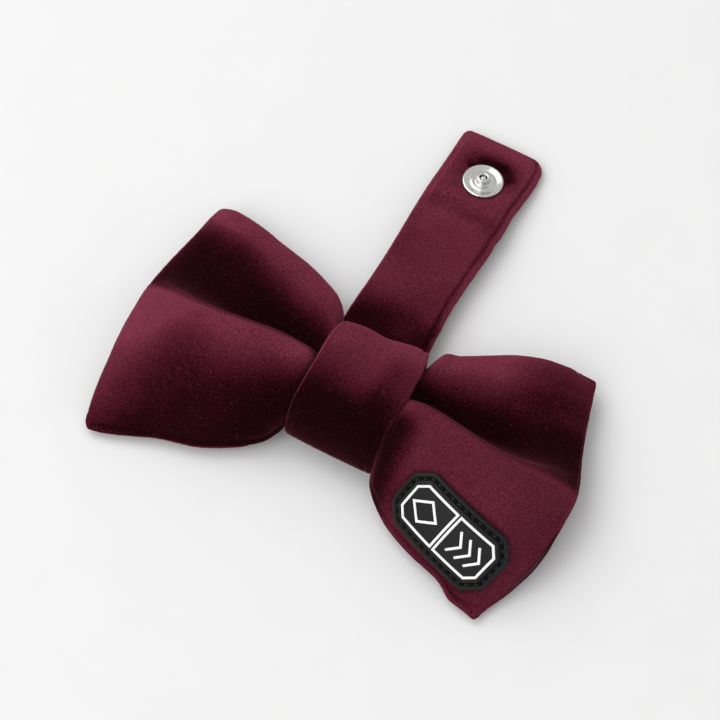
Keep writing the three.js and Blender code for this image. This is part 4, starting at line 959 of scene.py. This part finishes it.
# Surface detail, worked on the whole strap at once so that it runs on across the cuts.
q_of = np.repeat(S_ALL, N_SEC).reshape(len(S_ALL), N_SEC)
c_of, t_of = c_all[:, None, :], t_all[:, None, :]
up = -(RINGS[..., 1] - c_of[..., 0]) * t_of[..., 1] + (RINGS[..., 2] - c_of[..., 1]) * t_of[..., 0]
dx, ds_ = RINGS[..., 0] - STUD[0], q_of - STUD[1]
rr = np.hypot(dx, ds_)
x_right = RINGS[..., 0].max(axis=1)[:, None]
x_left = RINGS[..., 0].min(axis=1)[:, None]
to_right, to_left, to_tip = x_right - RINGS[..., 0], RINGS[..., 0] - x_left, S_END - q_of
edge = np.minimum(np.minimum(to_right, to_left), to_tip)
top = smooth(up, 0.15, 1.0)
under = smooth(-up, 0.15, 1.0)
on_strap = smooth(q_of, -2.0, 5.0)
flat = RINGS.reshape(-1, 3)
wob = (noise3(flat * [1, 0.8, 0], 13.0, 61) * 0.28 + noise3(flat * [1, 1, 0], 5.5, 62) * 0.12).reshape(q_of.shape)
d = top * on_strap * smooth(edge, 0.3, 3.5) * wob
# Cushioned round the stud and along the tip, drawn down under the stud's flange.
d += top * (0.62 * smooth(rr, 5.6, 9.4) * smooth(edge, 0.2, 3.4) * smooth(ds_, -15.0, -8.0))
d -= top * 0.16 * (1 - smooth(rr, 5.2, 7.4))
# A seam along the right edge of the strap, and the rolled edge outside it.
d -= top * on_strap * 0.34 * np.exp(-(((to_right - 1.9) / 0.45) ** 2)) * smooth(to_tip, 0.5, 3.0)
d -= top * on_strap * 0.10 * np.exp(-(((to_left - 1.5) / 0.5) ** 2))
# Small creases where it is pinched by the stud.
ang = np.arctan2(ds_, dx)
d += top * 0.13 * np.sin(ang * 9 + 1.3 * np.sin(ang * 2)) * smooth(rr, 5.4, 6.6) * (1 - smooth(rr, 7.0, 11.0)) * smooth(edge, 0.3, 2.0)
# A shallow hollow leads up and right of the stud.
d -= top * 0.45 * np.exp(-(((dx - 6.4) / 3.2) ** 2) - ((ds_ - 4.4) / 3.0) ** 2)
d += under * on_strap * 0.0
RINGS[..., 1] += -t_of[..., 1] * d
RINGS[..., 2] += t_of[..., 0] * d


def cut_piece(name, i0_, i1_):
    """One length of the strap, with capped ends."""
    sub = RINGS[i0_:i1_ + 1]
    m = N_SEC
    v = sub.reshape(-1, 3)
    f = ring_faces(len(sub), m)
    for base_ in (0, (len(sub) - 1) * m):
        c = len(v)
        v = np.vstack([v, v[base_:base_ + m].mean(0)])
        for k in range(m):
            f.append((base_ + k, base_ + (k + 1) % m, c))
    ob = make_mesh(name, v, f, VELVET)
    return ob


cuts_at = [0, 29, 29 + 43, 29 + 43 + 39, len(S_ALL) - 1]


def grid_normals(G):
    """Normals of the strap's whole surface, so that neighbouring lengths shade as one."""
    du = np.gradient(G, axis=0)
    dv = np.roll(G, -1, 1) - np.roll(G, 1, 1)
    n = np.cross(dv, du)
    ln = np.linalg.norm(n, axis=-1, keepdims=True)
    return n / np.maximum(ln, 1e-9)


NR = grid_normals(RINGS)
mid_sec = RINGS.mean(axis=1, keepdims=True)
if ((RINGS - mid_sec) * NR).sum() < 0:
    NR = -NR
strap_fuzz = (noise3(RINGS.reshape(-1, 3), 0.8, 4) * 0.6 + noise3(RINGS.reshape(-1, 3), 0.36, 11) * 0.4).reshape(q_of.shape)
RINGS = RINGS + NR * (0.055 * strap_fuzz * smooth(q_of, -5.4, -4.0))[..., None]
NR2 = grid_normals(RINGS)
if ((RINGS - mid_sec) * NR2).sum() < 0:
    NR2 = -NR2
# Painted shade and light from the strap's normals, as on the knot; painted shade where the strap leaves the knot,
# painted light towards the tip, a painted shadow crescent beside the stud and painted shade along the seam by the
# right edge.
strap_nap_and_shade = smooth(NR[..., 1], -0.42, 0.10) * 0.86 + 0.45 * smooth(-NR[..., 0], 0.22, 0.62) + 0.25 * smooth(NR[..., 0], 0.25, 0.65)
strap_nap_and_shade = strap_nap_and_shade - 0.30 * (1 - smooth(q_of, 2.0, 20.0)) * top + 0.14 * top * smooth(q_of, S_END - 8, S_END - 2)
strap_nap_and_shade = strap_nap_and_shade + (0.10 * noise3(RINGS.reshape(-1, 3), 9.0, 21)).reshape(q_of.shape)
strap_nap_and_shade = strap_nap_and_shade - top * 0.44 * np.exp(-(((rr - 7.2) / 2.7) ** 2)) * smooth(np.sin(np.arctan2(ds_, dx) + 0.15), 0.0, 0.8) * smooth(to_tip, 1.6, 3.6)
strap_nap_and_shade = strap_nap_and_shade - top * 0.42 * np.exp(-(((to_right - 1.9) / 0.55) ** 2))
strap_nap_and_shade = np.clip(strap_nap_and_shade, 0, 1)

strap_parts = []
for k in range(4):
    i0_, i1_ = cuts_at[k], cuts_at[k + 1]
    ob = cut_piece("strap_velvet_%d" % (k + 1), i0_, i1_)
    # The lay of the pile with painted shade and light, by position.
    from mathutils.kdtree import KDTree

    sub = RINGS[i0_:i1_ + 1].reshape(-1, 3)
    vals = strap_nap_and_shade[i0_:i1_ + 1].reshape(-1)
    kd = KDTree(len(sub))
    for q_, pt in enumerate(sub):
        kd.insert(pt, q_)
    kd.balance()
    vv = get_mm(ob)
    at_ = ob.data.attributes.new("nap_and_painted_shade", "FLOAT", "POINT")
    at_.data.foreach_set("value", np.array([vals[kd.find(q_)[1]] for q_ in vv], dtype=np.float32))
    # Caps are sharp-edged, so that they don't tilt the shading of the velvet.
    me_ = ob.data
    sharp = me_.attributes.new("sharp_edge", "BOOLEAN", "EDGE")
    tri = set()
    for poly in me_.polygons:
        if len(poly.vertices) == 3:
            vs_ = list(poly.vertices)
            for q_ in range(3):
                tri.add(tuple(sorted((vs_[q_], vs_[(q_ + 1) % 3]))))
    quad_edges = set()
    for poly in me_.polygons:
        if len(poly.vertices) == 4:
            vs_ = list(poly.vertices)
            for q_ in range(4):
                quad_edges.add(tuple(sorted((vs_[q_], vs_[(q_ + 1) % 4]))))
    flags = [tuple(sorted(e.vertices)) in tri and tuple(sorted(e.vertices)) in quad_edges for e in me_.edges]
    sharp.data.foreach_set("value", flags)
    strap_parts.append(ob)
strap_a, strap_b, strap_c, strap_d = strap_parts

# ------------------------------------------------------------------ press stud and socket
N0 = BAND_T / 2 + 0.25
c4, t4 = strap_path([STUD[1]])
STUD_AT = (-3.3, FOLD[3][0] + 10.25 * math.cos(math.radians(-7)), FOLD[3][1] + 10.25 * math.sin(math.radians(-7)))


def soft_profile(pts, n=90):
    return spline(pts, n)


stud_profile = np.vstack([
    soft_profile([
        (5.2, N0 + 0.02), (5.5, N0 + 0.1), (5.66, N0 + 0.38), (5.6, N0 + 0.72), (5.3, N0 + 0.92), (4.9, N0 + 0.88), (4.4, N0 + 0.66),
        (3.95, N0 + 0.5), (3.6, N0 + 0.46), (3.42, N0 + 0.55), (3.3, N0 + 0.68), (3.1, N0 + 0.76), (2.75, N0 + 0.78), (2.4, N0 + 0.78),
        (2.05, N0 + 0.84), (1.86, N0 + 1.1), (1.86, N0 + 1.7), (1.84, N0 + 2.3), (1.6, N0 + 2.5), (1.25, N0 + 2.5), (1.05, N0 + 2.36),
        (0.98, N0 + 2.1),
    ]),
    [(0.95, N0 + 1.2), (0.95, N0 + 0.02)],
])
stud = lathe("stud_face", stud_profile, STUD_AT, -7, METAL, 112)
post_profile = [(0, -N0 - 0.8), (2.2, -N0 - 0.8), (3.6, -N0 - 0.76), (4.2, -N0 - 0.6), (4.5, -N0 - 0.35), (4.6, -N0 - 0.05), (4.5, -N0), (0.7, -N0), (0.7, N0 + 1.9), (0.55, N0 + 2.05), (0, N0 + 2.1)]
stud_cap = lathe("stud_cap", post_profile, STUD_AT, -7, METAL, 80)
SOCKET_TOP = 2.45
socket_profile = np.vstack([
    [(1.15, SOCKET_TOP), (1.15, 1.75), (2.3, 1.75), (2.3, 1.3), (3.15, 1.3), (3.15, 0.6), (2.3, 0.6)],
    soft_profile([(2.3, 0.32), (2.42, 0.18), (2.7, 0.12), (3.4, 0.12), (3.95, 0.16), (4.25, 0.42), (4.4, 1.0), (4.6, 1.5), (5.0, 1.68),
                  (5.28, 1.85), (5.28, 2.2), (5.1, SOCKET_TOP)], 44),
])
socket = lathe("socket_body", socket_profile, (-3.3, 0.5, 0), 0, METAL, 96)

# ------------------------------------------------------------------ badge
BADGE_L, BADGE_W, BADGE_T, CUT = 32.6, 17.8, 1.6, 4.2
BADGE_AT, BADGE_TURN = np.array([39.5, -24.3]), math.radians(-19)


def tree_of(ob):
    me = ob.data
    vs = [v.co.copy() for v in me.vertices]
    return BVHTree.FromPolygons(vs, [tuple(p.vertices) for p in me.polygons])


class Patch:
    """A smooth quadratic patch that follows the wing under the badge."""

    def __init__(self, ob):
        tree = tree_of(ob)

        def cast(x, y):
            o = Vector(row((x, y, 60)))
            hit = tree.ray_cast(o, Vector((0, 0, -1)))
            return hit[0].z * 1000 - SHIFT[2] if hit[0] is not None else None

        ca, sa = math.cos(BADGE_TURN), math.sin(BADGE_TURN)
        zc = cast(*BADGE_AT)
        h = 5.0
        dl = (cast(BADGE_AT[0] + ca * h, BADGE_AT[1] + sa * h) - cast(BADGE_AT[0] - ca * h, BADGE_AT[1] - sa * h)) / (2 * h)
        dw = (cast(BADGE_AT[0] - sa * h, BADGE_AT[1] + ca * h) - cast(BADGE_AT[0] + sa * h, BADGE_AT[1] - ca * h)) / (2 * h)
        self.ex = np.array([ca, sa, dl])
        self.ex /= np.linalg.norm(self.ex)
        up = np.array([-sa, ca, dw])
        self.ez = np.cross(self.ex, up)
        self.ez /= np.linalg.norm(self.ez)
        self.ey = np.cross(self.ez, self.ex)
        self.c = np.array([BADGE_AT[0], BADGE_AT[1], zc])
        A, H = [], []
        for a in np.linspace(-BADGE_L / 2, BADGE_L / 2, 35):
            for b in np.linspace(-BADGE_W / 2, BADGE_W / 2, 21):
                o = self.c + self.ex * a + self.ey * b + self.ez * 30
                hit = tree.ray_cast(Vector(row(o)), Vector(tuple(-self.ez)))
                if hit[0] is None:
                    continue
                p = np.array(hit[0]) * 1000 - SHIFT
                hh = (p - self.c) @ self.ez
                if hh < -6:
                    continue
                A.append([1, a, b, a * a, a * b, b * b])
                H.append(hh)
        A, H = np.array(A), np.array(H)
        self.k = np.linalg.lstsq(A, H, rcond=None)[0]
        print("badge patch", np.round(self.k, 4), "resid", np.abs(A @ self.k - H).max(), len(H))

    def height(self, a, b):
        k = self.k
        return k[0] + k[1] * a + k[2] * b + k[3] * a * a + k[4] * a * b + k[5] * b * b

    def at(self, a, b, h):
        a, b, h = np.asarray(a, float), np.asarray(b, float), np.asarray(h, float)
        k = self.k
        ga, gb = k[1] + 2 * k[3] * a + k[4] * b, k[2] + k[4] * a + 2 * k[5] * b
        n = self.ez - ga[..., None] * self.ex - gb[..., None] * self.ey
        n /= np.linalg.norm(n, axis=-1)[..., None]
        return self.c + a[..., None] * self.ex + b[..., None] * self.ey + self.height(a, b)[..., None] * self.ez + n * h[..., None]


patch = Patch(pillow)
SINK = -0.35


def oct_points(inset, per_side=14, r=1.3):
    """Chamfered outline with softened corners, as even points."""
    a, b = BADGE_L / 2 - inset, BADGE_W / 2 - inset
    k = CUT - inset * 0.586
    p = np.array([(-a + k, -b), (a - k, -b), (a, -b + k), (a, b - k), (a - k, b), (-a + k, b), (-a, b - k), (-a, -b + k)])
    out = []
    n = len(p)
    rr = max(0.25, r - inset * 0.35)
    for i in range(n):
        p0, p1, p2 = p[i - 1], p[i], p[(i + 1) % n]
        d0, d1 = (p0 - p1) / np.linalg.norm(p0 - p1), (p2 - p1) / np.linalg.norm(p2 - p1)
        for t in np.linspace(0, 1, 6):
            q = (1 - t) ** 2 * (p1 + d0 * rr) + 2 * t * (1 - t) * p1 + t * t * (p1 + d1 * rr)
            out.append(q)
        e0, e1 = p1 + d1 * rr, p2 + (p1 - p2) / np.linalg.norm(p1 - p2) * rr
        for t in np.linspace(0, 1, per_side)[1:-1]:
            out.append(e0 + (e1 - e0) * t)
    return np.array(out)


# Rings from the bottom edge over the rolled border, the stitch groove and the flat field.
BADGE_RINGS = [
    (0.35, 0.0), (0.08, 0.12), (0.0, 0.45), (0.0, 1.05), (0.12, 1.38), (0.42, 1.58), (0.8, 1.62), (1.02, 1.52), (1.12, 1.2), (1.22, 1.02),
    (1.55, 1.0), (1.88, 1.02), (1.98, 1.2), (2.08, 1.46), (2.3, 1.56), (2.6, 1.56), (3.2, 1.54),
]


def badge_mesh():
    rings = [oct_points(i) for i, _ in BADGE_RINGS]
    m = len(rings[0])
    verts = [patch.at(r[:, 0], r[:, 1], np.full(m, h + SINK)) for r, (_, h) in zip(rings, BADGE_RINGS)]
    v = np.concatenate(verts)
    f = ring_faces(len(rings), m)
    # Field: rings shrinking to the centre line.
    base = (len(rings) - 1) * m
    inner = rings[-1]
    prev = base
    for s_ in (0.8, 0.6, 0.4, 0.2):
        q = inner * np.array([s_, s_])
        pts = patch.at(q[:, 0], q[:, 1], np.full(m, 1.54 + SINK))
        start = len(v)
        v = np.vstack([v, pts])
        for k in range(m):
            f.append((prev + k, prev + (k + 1) % m, start + (k + 1) % m, start + k))
        prev = start
    c = len(v)
    v = np.vstack([v, patch.at(np.array([0.0]), np.array([0.0]), np.array([1.54 + SINK]))])
    for k in range(m):
        f.append((prev + k, prev + (k + 1) % m, c))
    # Underside.
    prev = 0
    outer = rings[0]
    for s_ in (0.75, 0.5, 0.25):
        q = outer * s_
        start = len(v)
        v = np.vstack([v, patch.at(q[:, 0], q[:, 1], np.full(m, SINK))])
        for k in range(m):
            f.append((prev + k, prev + (k + 1) % m, start + (k + 1) % m, start + k))
        prev = start
    c = len(v)
    v = np.vstack([v, patch.at(np.array([0.0]), np.array([0.0]), np.array([SINK]))])
    for k in range(m):
        f.append((prev + k, prev + (k + 1) % m, c))
    return make_mesh("badge_rubber", v, f, RUBBER)


def ridge(paths, width, h0, h1, name, material, closed):
    """Raised rounded lines on the badge's field, one mesh for all the paths."""
    V, F = [], []
    prof = [(-0.5, 0.0), (-0.5, 0.55), (-0.42, 0.84), (-0.22, 1.0), (0.22, 1.0), (0.42, 0.84), (0.5, 0.55), (0.5, 0.0)]
    for path, is_closed in zip(paths, closed):
        p = np.asarray(path, float)
        # Even, dense points, with the corners kept.
        dense = []
        n = len(p)
        for i in range(n if is_closed else n - 1):
            a, b = p[i], p[(i + 1) % n]
            k = max(2, int(np.linalg.norm(b - a) / 0.8))
            for t in np.linspace(0, 1, k, endpoint=False):
                dense.append(a + (b - a) * t)
        if not is_closed:
            dense.append(p[-1])
        q = np.array(dense)
        m = len(q)
        ring_pts = []
        for i in range(m):
            a = q[(i - 1) % m] if (is_closed or i > 0) else q[i]
            b = q[(i + 1) % m] if (is_closed or i < m - 1) else q[i]
            d0 = q[i] - a
            d1 = b - q[i]
            if np.linalg.norm(d0) < 1e-9:
                d0 = d1
            if np.linalg.norm(d1) < 1e-9:
                d1 = d0
            d0, d1 = d0 / np.linalg.norm(d0), d1 / np.linalg.norm(d1)
            n0, n1 = np.array([-d0[1], d0[0]]), np.array([-d1[1], d1[0]])
            nn = n0 + n1
            nn /= np.linalg.norm(nn)
            stretch = min(1.6, 1 / max(0.4, nn @ n0))
            for (s_, hh) in prof:
                xy = q[i] + nn * s_ * width * stretch
                ring_pts.append((xy[0], xy[1], h0 + (h1 - h0) * hh))
        ring_pts = np.array(ring_pts)
        start = sum(len(x) for x in V)
        V.append(patch.at(ring_pts[:, 0], ring_pts[:, 1], ring_pts[:, 2] + SINK))
        k_ = len(prof)
        for i in range(m if is_closed else m - 1):
            a, b = start + i * k_, start + ((i + 1) % m) * k_
            for k in range(k_):
                F.append((a + k, a + (k + 1) % k_, b + (k + 1) % k_, b + k))
        if not is_closed:
            F.append(tuple(start + k for k in range(k_)))
            F.append(tuple(start + (m - 1) * k_ + k for k in reversed(range(k_))))
    return make_mesh(name, np.concatenate(V), F, material)


def dashes(inset, length, gap, name):
    """Separate stitches lying in the badge's groove."""
    loop = oct_points(inset, 40)
    seg = np.linalg.norm(np.roll(loop, -1, 0) - loop, axis=1)
    s = np.concatenate([[0], np.cumsum(seg)])
    total = s[-1]
    count = int(total / (length + gap))
    closed = np.vstack([loop, loop[:1]])

    def pos(q):
        q = q % total
        return np.array([np.interp(q, s, closed[:, 0]), np.interp(q, s, closed[:, 1])])

    V, F = [], []
    nseg, nr = 8, 8
    for c in range(count):
        q0 = total * c / count
        ring_pts = []
        for k in range(nseg + 1):
            t = k / nseg
            q = q0 + length * t
            p, d = pos(q), pos(q + 0.05) - pos(q - 0.05)
            d /= np.linalg.norm(d)
            side = np.array([-d[1], d[0]])
            r = 0.24 * math.sqrt(max(0.03, 1 - (2 * t - 1) ** 4))
            dip = 0.14 * (2 * t - 1) ** 2
            for a in range(nr):
                an = 2 * math.pi * a / nr
                xy = p + side * r * math.cos(an)
                ring_pts.append((xy[0], xy[1], 1.18 - dip + r * math.sin(an)))
        ring_pts = np.array(ring_pts)
        start = sum(len(x) for x in V)
        V.append(patch.at(ring_pts[:, 0], ring_pts[:, 1], ring_pts[:, 2] + SINK))
        for k in range(nseg):
            a, b = start + k * nr, start + (k + 1) * nr
            for j in range(nr):
                F.append((a + j, a + (j + 1) % nr, b + (j + 1) % nr, b + j))
        F.append(tuple(start + j for j in range(nr)))
        F.append(tuple(start + nseg * nr + j for j in reversed(range(nr))))
    return make_mesh(name, np.concatenate(V), F, THREAD_BLACK)


badge = badge_mesh()
fr_in = 3.45
a_, b_ = BADGE_L / 2 - fr_in, BADGE_W / 2 - fr_in
k_ = CUT - fr_in * 0.586
frame_l = [(-a_ + k_, -b_), (-0.55, -b_), (-0.55, b_), (-a_ + k_, b_), (-a_, b_ - k_), (-a_, -b_ + k_)]
frame_r = [(0.55, -b_), (a_ - k_, -b_), (a_, -b_ + k_), (a_, b_ - k_), (a_ - k_, b_), (0.55, b_)]
lines_frame = ridge([frame_l, frame_r], 0.66, 1.42, 1.82, "badge_lines_frame", WHITE, [True, True])
dia = [(-7.2 - 4.0, 0), (-7.2, -3.3), (-7.2 + 4.0, 0), (-7.2, 3.3)]
lines_diamond = ridge([dia], 0.66, 1.42, 1.82, "badge_lines_diamond", WHITE, [True])
chev = [[(2.9 + k * 2.9, -3.1), (5.3 + k * 2.9, 0.0), (2.9 + k * 2.9, 3.1)] for k in range(3)]
lines_chevrons = ridge(chev, 0.66, 1.42, 1.82, "badge_lines_chevrons", WHITE, [False] * 3)
badge_thread = dashes(1.55, 1.5, 0.75, "badge_stitches")

# The velvet gives way under the badge and is drawn down round it.
v = get_mm(pillow)
rel = v - patch.c
A, B = rel @ patch.ex, rel @ patch.ey
H = rel @ patch.ez
hs = patch.height(A, B) + SINK
qx = np.abs(A) - BADGE_L / 2
qy = np.abs(B) - BADGE_W / 2
qc = (np.abs(A) + np.abs(B) - (BADGE_L / 2 + BADGE_W / 2 - CUT)) / math.sqrt(2)
dist = np.maximum(np.maximum(qx, qy), qc)
near = (H > -7) & (dist < 3.2)
target = hs - 0.12 + np.clip(dist, 0, None) * 0.75 + 0.0
target = np.where(dist < -0.3, hs - 0.12, target)
delta = np.where(near & (H > target), target - H, 0.0)
delta = delta * smooth(near_line(v, LOW_SEAM)[0], 0.6, 3.2)
v = v + delta[:, None] * patch.ez
set_mm(pillow, v)

def tuck(ob, gap, limit=3.0, rounds=4):
    """Draws a hidden piece in until it lies at least gap inside the pillow."""
    tree = tree_of(pillow)
    for _ in range(rounds):
        v = get_mm(ob)
        moved = 0
        for k in range(len(v)):
            co, no, _i, _d = tree.find_nearest(Vector(row(v[k])))
            c_, n_ = np.array(co) * 1000 - SHIFT, np.array(no)
            off = float((v[k] - c_) @ n_)
            if off > -gap:
                v[k] = c_ - n_ * min(gap * 1.05, limit)
                moved += 1
        set_mm(ob, v)
        if not moved:
            break
    print("tucked", ob.name, moved)


tuck(filling, 0.75)
tuck(seam_stitches, 0.30)

# The band's interlining lies between its two layers of velvet, short of both edges.
lin = [flat_tube(k0[i] + (SX0 - k0[i]) * share_back[i] + 1.9, k1[i] + (SX1 - k1[i]) * share_back[i] - 1.9, 0.4, 0.0, 0.0, n_top=24, n_arc=4) for i in range(len(wrap))]
knot_lining = sweep_tube("band_interlining", lin[6:-6], wrap[6:-6], wt[6:-6], LINING)
v = get_mm(knot_lining)
lift = smooth(v[:, 2], 8.0, 14.0) * smooth(v[:, 1], 6.0, 16.0)
v[:, 1] += lift * (1.5 * smooth(v[:, 0], 0, 12) - 0.5 * (1 - smooth(v[:, 0], -12, -4)) - 0.7 * np.exp(-((v[:, 0] + 1) / 4.0) ** 2))
set_mm(knot_lining, v)

# ------------------------------------------------------------------ pile, and its lay with painted shade and light
def pillow_nap_and_shade():
    """How the pile lies over the folds, with painted shade and light: brushed pale along each roll's crest, painted
    shade in the pleat, under the rolls and beside the knot, and painted light towards the left end.
    """
    out = []
    rows = [(LEFT, -1, d_left), (None, 0, np.zeros(len(mid))), (RIGHT, 1, d_right)]
    crest, valley = [], []
    for table, side, ds in rows:
        if table is None:
            crest.append(np.full(len(ds), 0.6))
            valley.append(np.full(len(ds), 6.6))
            continue
        keys = np.array(sorted(table))
        Y = np.array([table[k][0] for k in keys])
        yy = hermite(keys, Y, ds)
        crest.append(yy[:, 6])
        valley.append(yy[:, 9])
    yc, yv = np.concatenate(crest)[:, None], np.concatenate(valley)[:, None]
    x, y = FRONT[..., 0], FRONT[..., 1]
    yb, yt = y[:, :1], y[:, -1:]
    tu = np.clip((y - yv) / (yt - yv), 0, 1)
    tw = np.clip((y - yc) / (yv - yc), 0, 1)
    tl = np.clip((yc - y) / (yc - yb), 0, 1)
    # Painted shade and light across each wing's folds, set by position above and below the crest.
    low_l = np.interp(tl, [0, 0.14, 0.3, 0.5, 0.72, 1], [0.97, 0.90, 0.66, 0.42, 0.24, 0.10])
    low_l = low_l + 0.44 * smooth(-x, 44, 60) * (1 - 0.45 * smooth(tl, 0.75, 1.0)) - 0.20 * (1 - smooth(-x, 17, 32)) * smooth(tl, 0.1, 0.6)
    tu_l = np.clip(tu - 0.05 * smooth(-x, 24, 34) * (1 - smooth(tu, 0.5, 0.8)) - 0.16 * smooth(-x, 34, 46) * (1 - smooth(tu, 0.62, 0.9)), 0, 1)
    up_l = np.interp(tu_l, [0, 0.2, 0.36, 0.62, 0.85, 1], [0.0, 0.04, 0.26, 0.80, 0.92, 0.95])
    low_r = 0.76 - 0.80 * (1 - smooth(x, 15.5, 25)) * smooth(tl, 0.05, 0.35) - 0.10 * smooth(tl, 0.8, 1.0)
    up_r = np.interp(tu, [0, 0.2, 0.4, 0.65, 0.85, 1], [0.0, 0.10, 0.52, 0.92, 1.0, 1.0]) - 0.42 * smooth(x, 30, 46) * smooth(tu, 0.25, 0.6)
    up_l = up_l + 0.14 * smooth(-x, 46, 58) * smooth(tu, 0.45, 0.7)
    low = np.where(x < 0, low_l, low_r)
    up = np.where(x < 0, up_l, up_r)
    wall = np.where(x < 0, low_l * 0 + 0.97, 0.76) * (1 - smooth(tw, 0.0, 0.40)) ** 1.7
    a = np.where(y < yc, low, np.where(y < yv, np.maximum(wall, up * 0), up))
    # Back panel: an even middle tone.
    v = get_mm(pillow)
    full = np.full(len(v), 0.6)
    full[: a.size] = a.reshape(-1)
    # Painted shade in the lower seam's crease, and a painted highlight on the turned edge outside it.
    d, k = near_line(v, LOW_SEAM)
    xs = LOW_SEAM[k][:, 0]
    strong = 0.35 + 0.65 * np.maximum(smooth(-xs, 40, 56), smooth(xs, 18, 30))
    strong = strong * smooth(np.minimum(k, len(LOW_SEAM) - 1 - k) * 0.25, 0.5, 6.0) * (0.45 + 0.55 * noise3(np.stack([xs, xs * 0, xs * 0], 1), 9.0, 32))
    full = full - 0.45 * strong * np.exp(-(((d - 1.6) / 0.6) ** 2)) + 0.22 * strong * np.exp(-((d / 0.7) ** 2))
    # Painted light along the left end's edge.
    d, k = near_line(v, END_L)
    full = full + 0.40 * np.exp(-((d / 3.4) ** 2)) * (full < 0.7) * smooth(v[:, 1], 2, 8)
    full = full + 0.08 * noise3(v, 9.0, 21)
    at = pillow.data.attributes.new("nap_and_painted_shade", "FLOAT", "POINT")
    at.data.foreach_set("value", np.clip(full, 0, 1).astype(np.float32))


def knot_painted_shade(v, n):
    """Painted shade on the band: pale over its upper part, painted darker low down, lighter again by the right edge.
    """
    e = -0.22 * (1 - smooth(v[:, 1], -4, 9)) * (1 - smooth(v[:, 0], 6, 13))
    e = e - 0.26 * smooth(v[:, 0], 3, 9) * (1 - smooth(v[:, 1], 6, 15)) - 0.12 * (1 - smooth(v[:, 1], 4, 13))
    return e


pillow_nap_and_shade()
paint_nap_and_shade(knot, knot_painted_shade)
pile(pillow, 0.07, 0.8, 1)
pile(knot, 0.06, 0.8, 2, keep=lambda q: 1 - smooth(q[:, 1], 9.0, 12.0) * (q[:, 2] < 6))

# ------------------------------------------------------------------ riding, replacing
for ob, node, sl in ((filling, "bow_wadding", "wadding"), (seam_stitches, "bow_seam_thread", "thread_red"), (knot_lining, "knot_interlining", "interlining")):
    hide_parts(node)
    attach(ob, "bow")
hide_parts("bow_front_panel", "bow_back_panel")
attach(pillow, "bow")
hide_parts("knot_band")
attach(knot, "bow")
for ob, node in ((strap_a, "strap_sleeve_1"), (strap_b, "strap_sleeve_2"), (strap_c, "strap_sleeve_3"), (strap_d, "strap_sleeve_4")):
    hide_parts(node)


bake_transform(strap_a)
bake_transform(strap_b)
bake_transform(strap_c)
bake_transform(strap_d)

for ob, node, body, slot in (
    (stud, "snap_stud", "strap_4", "steel"), (stud_cap, "stud_post", "strap_4", "steel"), (socket, "snap_socket", "bow", "steel"),
    (badge, "badge_base", "bow", "rubber_black"), (badge_thread, "badge_stitching", "bow", "thread_black"),
    (lines_frame, "badge_motif_frame", "bow", "rubber_white"), (lines_diamond, "badge_motif_diamond", "bow", "rubber_white"),
    (lines_chevrons, "badge_motif_chevrons", "bow", "rubber_white"),
):
    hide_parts(node)
    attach(ob, body)

INNER = {
    "waist_gathering_thread": THREAD_RED,
    "knot_closing_stitches": THREAD_RED, "socket_spring": METAL, "socket_post": METAL, "strap_interlining_1": LINING,
    "strap_interlining_2": LINING, "strap_interlining_3": LINING, "strap_interlining_4": LINING,
}
for name, m in INNER.items():
    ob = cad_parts[name]
    ob.data.materials.clear()
    ob.data.materials.append(m)
